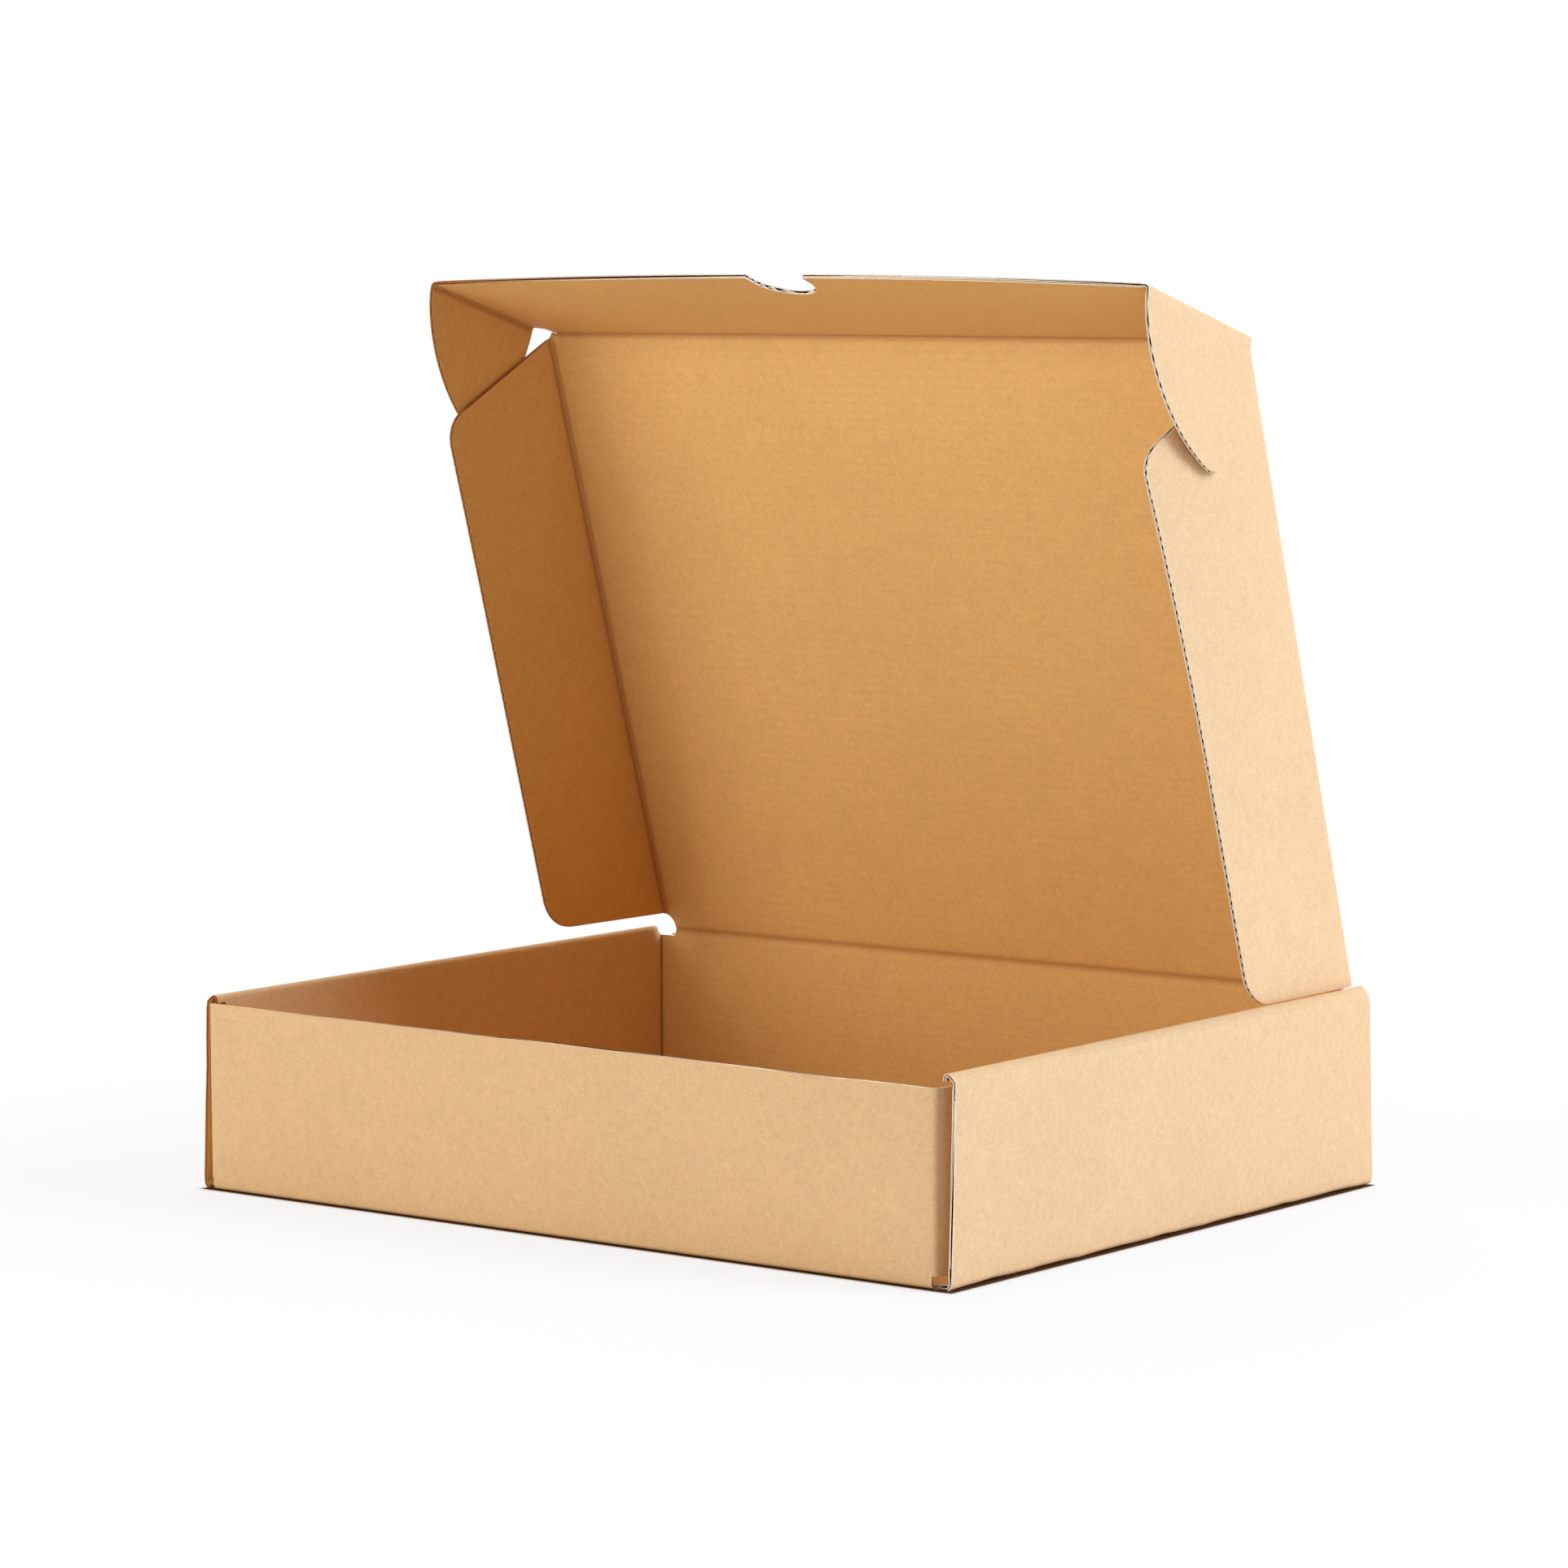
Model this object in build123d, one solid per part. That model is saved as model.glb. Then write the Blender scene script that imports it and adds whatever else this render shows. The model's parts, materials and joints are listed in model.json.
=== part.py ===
"""One-piece carton of corrugated board: a tray with rolled side walls, a lid with wings, and a tuck flap.

Millimetres. The origin is the middle of the tray's underside, +X is to the right of someone in
front of the box, the front faces -Y, and +Z is up. The lid stands open, leaning forward.
"""
import math
import os

from build123d import *

# Board
BOARD = 1.6             # thickness of the corrugated board
CREASE_RADIUS = 1.3     # mid-board radius of a creased fold
LAYER_GAP = 0.4         # air on each side of a flap that is caught between two walls
HINGE_GAP = 0.5         # air between a crease's rounded edge and the panel that turns about it

# Tray
BOX_WIDTH = 330.0       # over the outer side walls
BOX_DEPTH = 253.0       # over the front and back walls
SIDE_HEIGHT = 70.2      # top of the rolled side walls
FRONT_DROP = 4.2        # top of the front wall, below the side walls'
HINGE_DROP = 1.6        # crease between back wall and lid, below the side walls' top
ROLL_FLAT = 0.16        # flat strip left between the two bends of a side wall's rounded top
CORNER_RADIUS = 5.2     # soft mid-board bend from a wall into its corner flap
FLAP_LENGTH = 58.0      # corner flap, from the wall's face
FLAP_CHAMFER = 14.0     # sloped ends of the corner flaps
FLAP_RISE = 2.9         # lower edges of the corner flaps, above the bottom
SIDE_SETBACK = 0.6      # cut ends of the side walls at the bottom, behind the faces of front and back
SIDE_LEAN = 2.4         # how far those ends lean back on their way up
CORNER_HOLE = 3.0       # radius of the die's relief hole where the bottom creases meet
TAB_LENGTH = 38.0       # lock tab under an inner side wall
TAB_PITCH = 120.0       # between the two tabs of one side
TAB_GAP = 0.25          # air round a tab in its slot

# Lid
WING_SEAT = 2.2         # from the tray's inner side wall to a wing's outer face
WING_FLOOR_GAP = 2.0    # from the bottom to a wing's free edge, with the lid shut
WING_FRONT_SLOPE = 15.0     # degrees that the wing's front edge leans back
WING_REAR_SLOPE = 16.4      # degrees that the wing's rear edge leans forward
WING_FRONT_RADIUS = 11.0
WING_REAR_RADIUS = 16.0
CREASE_END = 5.0        # how far the back crease's ends stop short of the lid's sides
CREASE_NOTCH = 3.2      # depth of the relief notch in the back wall, below the crease
LID_NOTCH = 4.5         # depth of the relief notch in the lid, above the crease
FRONT_NOTCH = 1.5       # depth of the relief at the lid's front corners
NOTCH_RADIUS = 2.5      # rounded inner corner of a relief notch
FRONT_NOTCH_RADIUS = 1.0

# Tuck flap
TUCK_SEAT = 8.6         # from the front wall to the front crease, with the lid shut
TUCK_FLOOR_GAP = 1.0    # from the bottom to the flap's free edge, square to the shut lid
EAR_SEAT = 0.3          # from the tray's inner side wall to an ear's outer face
EAR_DEPTH = 52.0        # from the flap's face to the ear's far end
EAR_RELIEF = 6.0        # from the front crease to the ear's lid-side edge
EAR_TAPER = 0.1         # how much the ear's lid-side edge draws away, per length
EAR_RADIUS = 9.0        # rounded tip
THUMB_WIDTH = 25.0      # thumb notch in the free edge
THUMB_DEPTH = 17.0

# Rest pose
LID_OPEN = 73.5         # degrees from shut
TUCK_OPEN = 31.8        # degrees past square to the lid

# Places that follow from the sizes above
HALF_BOARD = BOARD / 2
HALF_WIDTH = BOX_WIDTH / 2
HALF_DEPTH = BOX_DEPTH / 2
POCKET = BOARD + 2 * LAYER_GAP                      # air inside a rolled side wall
ROLL_SPAN = POCKET + BOARD                          # between the middles of its two layers
INNER_FACE = HALF_WIDTH - ROLL_SPAN - BOARD         # inside of the tray, in X
FLAP_MIDDLE = HALF_WIDTH - BOARD - LAYER_GAP - HALF_BOARD
ROLL_RADIUS = (ROLL_SPAN - ROLL_FLAT) / 2
FOOT_HALF = FLAP_MIDDLE - CORNER_RADIUS             # half of a wall's straight foot, up to its soft corners
FLOOR_TOP = BOARD
SEAT_HEIGHT = FLOOR_TOP + TAB_GAP                   # lower edge of what stands on the bottom
FRONT_HEIGHT = SIDE_HEIGHT - FRONT_DROP
HINGE_HEIGHT = SIDE_HEIGHT - HINGE_DROP
WING_HEIGHT = HINGE_HEIGHT - FLOOR_TOP - WING_FLOOR_GAP     # from the lid's middle to a wing's free edge
TUCK_HEIGHT = HINGE_HEIGHT - FLOOR_TOP - TUCK_FLOOR_GAP     # from the front crease to the free edge
WALL_INNER_FACE = HALF_DEPTH - BOARD
HINGE_Y = HALF_DEPTH - HALF_BOARD
TUCK_Y = TUCK_SEAT - WALL_INNER_FACE                # front crease with the lid shut
LID_LENGTH = HINGE_Y - TUCK_Y                       # from the back crease to the front crease
WING_MIDDLE = INNER_FACE - WING_SEAT - HALF_BOARD
EAR_MIDDLE = INNER_FACE - EAR_SEAT - HALF_BOARD
LID_EDGE = WING_MIDDLE + HALF_BOARD
CREASE_HALF = LID_EDGE - CREASE_END
CREASE_CLEAR = HALF_BOARD + HINGE_GAP               # from a crease's axis to the turning panel
HINGE_AXIS = Axis((0, HINGE_Y, HINGE_HEIGHT), (1, 0, 0))
TUCK_AXIS = Axis((0, TUCK_Y, HINGE_HEIGHT), (1, 0, 0))


def bent_board(points, radii):
    """Section of the board, bent along its middle line."""
    return trace(FilletPolyline(*points, radius=radii), line_width=BOARD)


def along_y(section, start, end):
    """Board section drawn in X and Z, run from one Y to another."""
    return extrude(Plane.XZ.offset(-end) * section, amount=end - start)


def along_x(section, half_length):
    """Board section or outline drawn in Y and Z, run to both sides of the middle."""
    return extrude(Plane.YZ * section, amount=half_length, both=True)


def along_z(section, low, high):
    """Board section drawn in X and Y, run from one Z to another."""
    return extrude(Plane.XY.offset(low) * section, amount=high - low)


def block(x, y, z):
    """Plain block from three pairs of limits, used to cut."""
    size = [limits[1] - limits[0] for limits in (x, y, z)]
    return Pos(x[0], y[0], z[0]) * Box(*size, align=Align.MIN)


def rounded_outline(points, radii):
    """Flat die-cut outline with a radius at each corner."""
    return make_face(FilletPolyline(*points, radius=radii, close=True))


def crease(y, z, half_length):
    """Rounded edge of a panel along a crease."""
    return Pos(0, y, z) * Rot(0, 90, 0) * Cylinder(HALF_BOARD, 2 * half_length)


def end_wall(height):
    """Front wall at -Y with its two corner flaps, up to the given height."""
    face = -HALF_DEPTH + HALF_BOARD
    flap_end = -HALF_DEPTH + FLAP_LENGTH
    plan = bent_board(
        [(FLAP_MIDDLE, flap_end), (FLAP_MIDDLE, face), (-FLAP_MIDDLE, face), (-FLAP_MIDDLE, flap_end)],
        CORNER_RADIUS,
    )
    slope = flap_end - FLAP_CHAMFER
    low = FLOOR_TOP + FLAP_RISE
    outline = Polygon(
        (-HALF_DEPTH, low), (slope, low), (flap_end, low + FLAP_CHAMFER),
        (flap_end, height - FLAP_CHAMFER), (slope, height), (-HALF_DEPTH, height), align=None,
    )
    wall = along_z(plan, low, height) & along_x(outline, HALF_WIDTH)
    foot = bent_board([(0, HALF_BOARD), (face, HALF_BOARD), (face, height / 2)], CREASE_RADIUS)
    return wall + along_x(foot, FOOT_HALF)


def tongue(low, notch, top, reach, radius=NOTCH_RADIUS):
    """Outline of a panel whose middle reaches past a relief notch on each side, up to a crease."""
    half = [(reach, low), (reach, notch), (CREASE_HALF, notch), (CREASE_HALF, top)]
    points = half + [(-x, y) for x, y in reversed(half)]
    return rounded_outline(points, [0, 0, radius, 0, 0, radius, 0, 0])


def back_wall():
    """Back wall, whose top edge is the lid's crease, with a relief notch at each end."""
    notch = HINGE_HEIGHT - CREASE_NOTCH
    wall = Rot(0, 0, 180) * end_wall(notch)
    raised = tongue(HINGE_HEIGHT / 2, notch, HINGE_HEIGHT, FOOT_HALF)
    return wall + along_y(raised, WALL_INNER_FACE, HALF_DEPTH) + crease(HINGE_Y, HINGE_HEIGHT, CREASE_HALF)


def rolled_side():
    """Right side wall: outer layer, roll-over band and inner layer with its lock tabs."""
    outer = HALF_WIDTH - HALF_BOARD
    inner = outer - ROLL_SPAN
    top = SIDE_HEIGHT - HALF_BOARD
    section = bent_board(
        [(0, HALF_BOARD), (outer, HALF_BOARD), (outer, top), (inner, top), (inner, SEAT_HEIGHT)],
        [CREASE_RADIUS, ROLL_RADIUS, ROLL_RADIUS],
    )
    end = HALF_DEPTH - SIDE_SETBACK
    top_end = end - SIDE_LEAN
    profile = Polygon((-end, 0), (end, 0), (top_end, SIDE_HEIGHT), (-top_end, SIDE_HEIGHT), align=None)
    side = along_y(section, -end, end) & along_x(profile, HALF_WIDTH)
    layer_end = HALF_DEPTH - HALF_BOARD - CORNER_RADIUS
    band_bottom = SIDE_HEIGHT - BOARD - ROLL_RADIUS
    for low, high in ((-HALF_DEPTH, -layer_end), (layer_end, HALF_DEPTH)):
        side -= block((INNER_FACE - BOARD, HALF_WIDTH - BOARD), (low, high), (FLOOR_TOP, band_bottom))
    for y in (-TAB_PITCH / 2, TAB_PITCH / 2):
        span = (y - TAB_LENGTH / 2, y + TAB_LENGTH / 2)
        slot = (span[0] - TAB_GAP, span[1] + TAB_GAP)
        side -= block((INNER_FACE - TAB_GAP, INNER_FACE + BOARD + TAB_GAP), slot, (0, FLOOR_TOP))
        side += block((INNER_FACE, INNER_FACE + BOARD), span, (TAB_GAP, SEAT_HEIGHT + BOARD))
    return side


def base_tray():
    """Tray: bottom, front and back walls with corner flaps, and two rolled side walls."""
    right = rolled_side()
    tray = right + mirror(right, Plane.YZ) + end_wall(FRONT_HEIGHT) + back_wall()
    reach_x = FOOT_HALF + CORNER_HOLE
    for x in (-reach_x, reach_x):
        for y in (-WALL_INNER_FACE, WALL_INNER_FACE):
            tray -= Pos(x, y, 0) * Cylinder(CORNER_HOLE, 2 * SEAT_HEIGHT)
    return tray


def lid_shut():
    """Lid panel and its two wings, with the lid shut."""
    foot = HINGE_HEIGHT - WING_HEIGHT
    section = bent_board(
        [(WING_MIDDLE, foot), (WING_MIDDLE, HINGE_HEIGHT),
         (-WING_MIDDLE, HINGE_HEIGHT), (-WING_MIDDLE, foot)],
        CREASE_RADIUS,
    )
    rear = HINGE_Y - LID_NOTCH
    front = TUCK_Y + FRONT_NOTCH
    top = HINGE_HEIGHT + BOARD
    inside = HINGE_HEIGHT - HALF_BOARD
    rear_lean = math.tan(math.radians(WING_REAR_SLOPE)) * WING_HEIGHT
    front_lean = math.tan(math.radians(WING_FRONT_SLOPE)) * WING_HEIGHT
    profile = rounded_outline(
        [(HINGE_Y, top), (HINGE_Y, inside), (rear, inside), (rear - rear_lean, foot),
         (front + front_lean, foot), (front, inside), (TUCK_Y, inside), (TUCK_Y, top)],
        [0, 0, 0, WING_REAR_RADIUS, WING_FRONT_RADIUS, 0, 0, 0],
    )
    middle = (front + rear) / 2
    rear_half = tongue(middle, rear, HINGE_Y - CREASE_CLEAR, HALF_WIDTH)
    front_half = mirror(tongue(-middle, -front, -TUCK_Y, HALF_WIDTH, FRONT_NOTCH_RADIUS), Plane.XZ)
    plan = along_z(rear_half + front_half, foot, top)
    lid = along_y(section, TUCK_Y, HINGE_Y) & along_x(profile, HALF_WIDTH) & plan
    return lid + crease(TUCK_Y, HINGE_HEIGHT, CREASE_HALF)


def tuck_square():
    """Tuck flap with its two ears and thumb notch, square to the shut lid."""
    free = HINGE_HEIGHT - TUCK_HEIGHT
    relief = HINGE_HEIGHT - EAR_RELIEF
    top = HINGE_HEIGHT - CREASE_CLEAR
    outside = TUCK_Y - HALF_BOARD
    inside = TUCK_Y + HALF_BOARD
    ear_end = outside + EAR_DEPTH
    plan = bent_board(
        [(EAR_MIDDLE, ear_end), (EAR_MIDDLE, TUCK_Y), (-EAR_MIDDLE, TUCK_Y), (-EAR_MIDDLE, ear_end)],
        CREASE_RADIUS,
    )
    ear_foot = relief - EAR_TAPER * EAR_DEPTH
    drop = ear_foot - free
    curve = Ellipse(EAR_DEPTH, drop) & Pos(EAR_DEPTH / 2, -drop / 2) * Rectangle(EAR_DEPTH, drop)
    taper = Polygon(
        (outside, ear_foot), (ear_end, ear_foot), (inside, relief), (inside, top), (outside, top),
        align=None,
    )
    ear = Pos(outside, ear_foot) * curve + taper
    ear = fillet(ear.vertices().sort_by(Axis.X)[-1], EAR_RADIUS)
    front = tongue(free, relief, top, HALF_WIDTH)
    flap = along_z(plan, free, top) & along_x(ear, HALF_WIDTH) & along_y(front, outside, ear_end)
    thumb = Pos(0, free) * SlotCenterToCenter(2 * THUMB_DEPTH - THUMB_WIDTH, THUMB_WIDTH, rotation=90)
    return flap - along_y(thumb, outside, inside)


def open_lid(shape):
    """Turn what the lid carries from shut to the rest pose."""
    return shape.rotate(HINGE_AXIS, -LID_OPEN)


def one_solid(shape):
    """The single solid of a finished node."""
    return shape.solids()[0]


NODES = {
    "base_tray": base_tray(),
    "lid": open_lid(lid_shut()),
    "tuck_flap": open_lid(tuck_square().rotate(TUCK_AXIS, -TUCK_OPEN)),
}

os.makedirs("parts", exist_ok=True)
for name, shape in NODES.items():
    export_step(one_solid(shape), f"parts/{name}.step")
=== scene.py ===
"""One-piece carton of brown corrugated board, standing open, as a Blender add-on that is run as a script.

Every panel is real board: a flat die-cut sheet becomes two liners with a fluted medium between them,
and is then creased and folded about the same lines as the carton's solids. Lengths are in metres,
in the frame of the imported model: +X right, the front faces -Y, +Z up.
"""
import json
import math
from types import SimpleNamespace

import bmesh
import bpy
import numpy as np
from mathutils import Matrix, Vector


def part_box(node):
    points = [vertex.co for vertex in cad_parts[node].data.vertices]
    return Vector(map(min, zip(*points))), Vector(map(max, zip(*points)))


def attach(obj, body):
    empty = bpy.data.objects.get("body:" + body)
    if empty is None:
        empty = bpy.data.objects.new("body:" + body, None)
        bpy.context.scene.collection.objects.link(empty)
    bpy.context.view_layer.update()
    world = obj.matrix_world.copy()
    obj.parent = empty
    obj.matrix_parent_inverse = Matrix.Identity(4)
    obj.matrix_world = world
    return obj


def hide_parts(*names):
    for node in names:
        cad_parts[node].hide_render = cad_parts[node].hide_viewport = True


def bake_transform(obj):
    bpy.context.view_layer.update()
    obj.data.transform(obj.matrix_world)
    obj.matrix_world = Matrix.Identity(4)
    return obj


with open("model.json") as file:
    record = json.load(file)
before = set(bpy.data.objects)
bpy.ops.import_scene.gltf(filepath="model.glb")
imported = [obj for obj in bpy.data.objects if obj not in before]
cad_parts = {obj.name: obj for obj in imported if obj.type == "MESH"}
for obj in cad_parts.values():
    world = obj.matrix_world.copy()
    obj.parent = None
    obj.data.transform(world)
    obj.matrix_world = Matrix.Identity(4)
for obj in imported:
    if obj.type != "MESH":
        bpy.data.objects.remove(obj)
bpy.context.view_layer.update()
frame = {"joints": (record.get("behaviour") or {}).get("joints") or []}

bl_info = {
    "name": "Corrugated tuck-top carton",
    "version": (1, 0, 0),
    "blender": (4, 5, 0),
    "location": "View3D > Sidebar > Carton",
    "description": "Folds a tray, a lid with wings and a tuck flap from die-cut corrugated board",
    "category": "Add Mesh",
}

MM = 0.001
TRAY_LOW, TRAY_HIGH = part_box("base_tray")
JOINT_PLACES = {joint["name"]: joint["pos_m"] for joint in frame["joints"]}
BLANK = "blank"             # attribute that keeps each point's place on the flat sheet
CREASE = "crease"           # attribute that says how near each point is to a crease, from 0 to 1

# How finely the sheets are divided
CUT_TOLERANCE = 1e-7
WELD_DISTANCE = 10 * CUT_TOLERANCE
BEND_STEP = 1.2 * MM        # longest straight step round a wide bend
ARC_STEP = 0.6 * MM         # straight step round a die-cut corner
ARC_LEAST = 3               # fewest steps round one
HOLE_STEPS = 12             # straight steps round a relief hole
EAR_STEPS = 40              # points along an ear's curved edge
EAR_ANGLES = (11, 89)       # degrees of that curve that are drawn
LINER_STEPS = 6             # straight steps round a liner's crease
LINER_BESIDE = (0.4, 0.9, 1.6)      # lines beside that crease, in crush widths
LINER_GRID = (12 * MM, 8 * MM)      # lines elsewhere, across and along the sheet
FLUTE_STEPS = 3             # straight steps round a crease of the fluted medium
FLUTE_BESIDE = (5 * MM, 12 * MM)    # lines beside that crease
FLUTE_RUN = 30 * MM         # lines across a flute's length
FLUTE_PARTS = 6             # straight steps in one flute's wave
STUB = 20 * MM              # straight board drawn past a section's last crease
ALMOST_ROUND = 0.999        # share of a half width that an arc takes, to keep a trace of straight edge
SHARP_ANGLE = 40            # degrees between faces from which an edge is sharp
CUT_TILT = 0.5              # upward part of the normal under which a flat board's face is a cut edge
ROLL_END = 3                # roll radii past a band's inner crease where the inner layer's own end starts

# Where the paper's pattern starts on each piece, along the sheet, so that no two look alike
BLANK_ROWS = {
    "tray_bottom_and_sides": 0.0,
    "front_wall": -0.4,
    "back_wall": 0.3,
    "lid_with_wings": 0.7,
    "tuck_flap_with_ears": 1.1,
}

# Waves that add up to an uneven edge, and what makes one edge differ from the next
WAVE_SHARES = (0.5, 0.3, 0.2)
WAVE_STEP = 1.37
WAVE_SHIFT = 1.7
SIDE_SPREAD = 0.3           # share by which the waves are closer on the right, and wider on the left
END_SEED = 2.0
FOOT_SEED = 1.0
TOP_SEED = 0.6

# Clouds in the kraft paper: size in millimetres, detail of the noise, and share of the tone
KRAFT_CLOUDS = {
    "grain": (0.9, 2.0, 0.3),
    "peel": (2.4, 2.0, 0.2),
    "mottle": (9, 2.0, 0.1),
    "cloud": (60, 1.0, 0.08),
}
CLOUD_ROUGHNESS = 0.55
STRIPE_RELIEF = 0.08        # heights of the stripes and of the grain, as shares of the peel's
GRAIN_RELIEF = 0.5
KRAFT_RELIEF = 0.25 * MM    # drawn deeper than life so that it shows
KRAFT_BUMP = 0.3
MOTTLE_RANGE = (0.3, 0.7)
ROUGH_RANGE = (0.6, 0.7)

# Fibres and flecks, drawn coarser than life so that they show
FIBRE_SIZE = (2.6 * MM, 0.45 * MM, 1 * MM)
FIBRE_TURNS = (25, -50, 85)         # degrees, two ways for pale fibres and one for dark ones
PALE_FIBRES = (0.72, 0.86, 0.3)     # noise where a fibre starts and where it is full, and its share
DARK_FIBRES = (0.76, 0.88, 0.22)
FLECK_SPACING = 9 * MM
FLECK_CHANCE = 0.5          # share of the places that have no fleck
FLECK_SIZE = 0.05           # largest fleck and its soft edge, in spacings
FLECK_EDGE = 0.03
FLECK_SHARE = 0.35

# Cut edges
EDGE_GRAIN = 0.8 * MM
EDGE_DETAIL = 3.0
EDGE_TONES = (0.7, 1.3)
EDGE_RELIEF = 0.1 * MM
EDGE_BUMP = 0.4
EDGE_ROUGHNESS = 0.95
# Painted shade: towards the left the cut edges and flutes turn a plain brown, as they look in shade on that
# side.
SHADE_START = -20 * MM        # where they begin to be rubbed, left of the sheet's middle
SHADE_END = -150 * MM         # where they are fully rubbed

# Lamps: where each stands, what it is aimed at, and its width, in metres
BOX_MIDDLE = (0, 0, 0.15)
FLOOR_AHEAD = (0, -0.6, 0)
LAMPS = {
    "key": ((2.5, 1.3, 1.3), BOX_MIDDLE, 1.8),
    "front": ((-0.3, -2.2, 0.6), BOX_MIDDLE, 1.4),
    "left": ((-1.2, -1.8, 0.7), BOX_MIDDLE, 1.2),
    "top": ((0, -0.4, 2.2), BOX_MIDDLE, 1.4),
    "rear": ((-0.6, 0.8, 2.4), FLOOR_AHEAD, 1.5),
}
WHITE = (1, 1, 1)
FLOOR_HALF = 6.0            # metres from the floor's middle to its edge
SENSOR_WIDTH = 36           # millimetres


def length(name, millimetres, description):
    """Property that holds a length, with its default given in millimetres."""
    return bpy.props.FloatProperty(
        name=name, description=description, default=millimetres * MM, precision=5,
        unit="LENGTH", subtype="DISTANCE",
    )


def number(name, value, description, subtype="NONE", unit="NONE"):
    """Property that holds a share, a lamp's power or another plain number."""
    return bpy.props.FloatProperty(
        name=name, description=description, default=value, subtype=subtype, unit=unit
    )


def angle(name, degrees, description):
    """Property that holds an angle, with its default given in degrees."""
    return bpy.props.FloatProperty(
        name=name, description=description, default=math.radians(degrees), unit="ROTATION", subtype="ANGLE"
    )


def linear_colour(code):
    """Linear colour of an sRGB hex code such as #C09060."""
    values = [int(code[i:i + 2], 16) / 255 for i in (1, 3, 5)]
    return [v / 12.92 if v <= 0.04045 else ((v + 0.055) / 1.055) ** 2.4 for v in values]


def colour(name, code, description):
    """Property that holds a colour, with its default given as an sRGB hex code."""
    return bpy.props.FloatVectorProperty(
        name=name, description=description, default=linear_colour(code), subtype="COLOR", min=0, max=1
    )


class BoardSizes(bpy.types.PropertyGroup):
    """The corrugated board and how it takes a crease."""
    board: length("Board", 1.6, "Thickness of the board")
    outer_liner: length("Outer liner", 0.42, "Thickness of the liner on the outside")
    inner_liner: length("Inner liner", 0.25, "Thickness of the liner on the inside")
    paper: length("Medium paper", 0.22, "Thickness of the fluted paper between the liners")
    pitch: length("Flute pitch", 3.3, "From one flute to the next")
    crease_radius: length("Crease radius", 1.3, "Mid-board radius of a creased fold")
    skew: number("Flute skew", 0.012, "How far the flutes run out of true with the die, per length")
    crush_width: length("Crush width", 1.2, "Half width of the band that the creasing rule has pressed")
    crush: number("Crush", 0.3, "Share of the thickness pressed away at a crease", "FACTOR")


class TraySizes(bpy.types.PropertyGroup):
    """The tray's walls, flaps and lock tabs."""
    layer_gap: length("Layer gap", 0.4, "Air on each side of a flap caught between two walls")
    side_height: length("Side height", 70.2, "Top of the rolled side walls")
    front_height: length("Front height", 66.0, "Top of the front wall")
    front_skew: length("Front skew", 0.65, "How much the front wall's top rises left and falls right")
    roll_slope: length("Roll slope", 2.4, "How much lower a roll-over band's outer crease is than its inner")
    roll_crown: length("Roll crown", 1.3, "Inner crease's sharp corner above the top of the side wall")
    roll_radius: length("Roll radius", 1.2, "Mid-board radius of those two creases")
    foot_radius: length("Foot radius", 1.9, "Mid-board radius of the crease under a side wall")
    flap_length: length("Corner flap", 58.0, "Length of a corner flap from the wall's face")
    flap_chamfer: length("Flap slope", 14.0, "Sloped ends of the corner flaps")
    flap_rise: length("Flap rise", 2.9, "Lower edges of the corner flaps above the bottom")
    corner_radius: length("Corner radius", 1.6, "Mid-board radius of an end wall's turn into its corner flap")
    right_cut: length("Right cut", 4.2, "How far before the corner the front wall turns on the right")
    right_depth: length("Right depth", 16.0, "How far back that slanted turn reaches")
    left_cut: length("Left cut", 1.6, "How far before the corner the front wall turns on the left")
    left_depth: length("Left depth", 5.0, "How far back that slanted turn reaches")
    flap_radius: length("Flap radius", 5.0, "Mid-board radius of its end, where the flap runs straight back")
    side_setback: length("Side setback", 0.6, "Cut ends of the side walls behind the end walls' faces")
    side_lean: length("Side lean", 2.4, "How far those ends lean back on their way up")
    side_bulge: length("Side bulge", 0.9, "How far the middle of an outer side wall stands out")
    foot_gap: length("Foot gap", 5.2, "From a corner flap's middle to the end of the wall's foot crease")
    left_gap: length("Left foot gap", 2.4, "The same at the front wall's left end")
    corner_hole: length("Corner hole", 3.0, "Radius of the relief hole where the bottom creases meet")
    left_hole: length("Left hole", 1.6, "Radius of that hole in front on the left")
    tab_length: length("Lock tab", 38.0, "Length of a lock tab under an inner side wall")
    tab_pitch: length("Tab pitch", 120.0, "Between the two lock tabs of one side")
    tab_gap: length("Tab gap", 0.25, "Air round a lock tab in its slot")
    seam: length("Seam", 6.0, "Strip of the bottom that is made with an end wall")
    band_rise: length("Band rise", 1.7, "How far the right roll-over band stands up at its rear")
    band_tilt: number("Band tilt", 0.35, "Share of that rise that grows towards the rear", "FACTOR")
    band_sink: length("Band sink", 0.5, "How far the left roll-over band is pressed down")
    band_reach: length("Band reach", 7.0, "How far round a band's inner crease it is moved")
    foot_lift: length("Foot lift", 0.75, "How far the right side's bottom crease stands off the floor")
    foot_reach: length("Foot reach", 12.0, "How far round that crease, and from its ends, the lift dies away")
    foot_waver: number("Foot waver", 0.4, "Share of that lift that is uneven", "FACTOR")
    foot_wave: length("Foot wave", 34.0, "From one low place of that crease to the next")
    ragged: length("Ragged edge", 0.35, "Unevenness of the cut ends and of the front wall's top")
    ragged_zone: length("Ragged zone", 8.0, "Strip along a cut end that is uneven")
    ragged_rise: length("Ragged rise", 30.0, "Height over which that grows from nothing")
    ragged_wave: length("Ragged wave", 23.0, "From one notch of a cut end to the next")
    top_zone: length("Top zone", 12.0, "Strip along the front wall's top that is uneven")
    top_wave: length("Top wave", 170.0, "From one low place of that top to the next")


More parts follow.
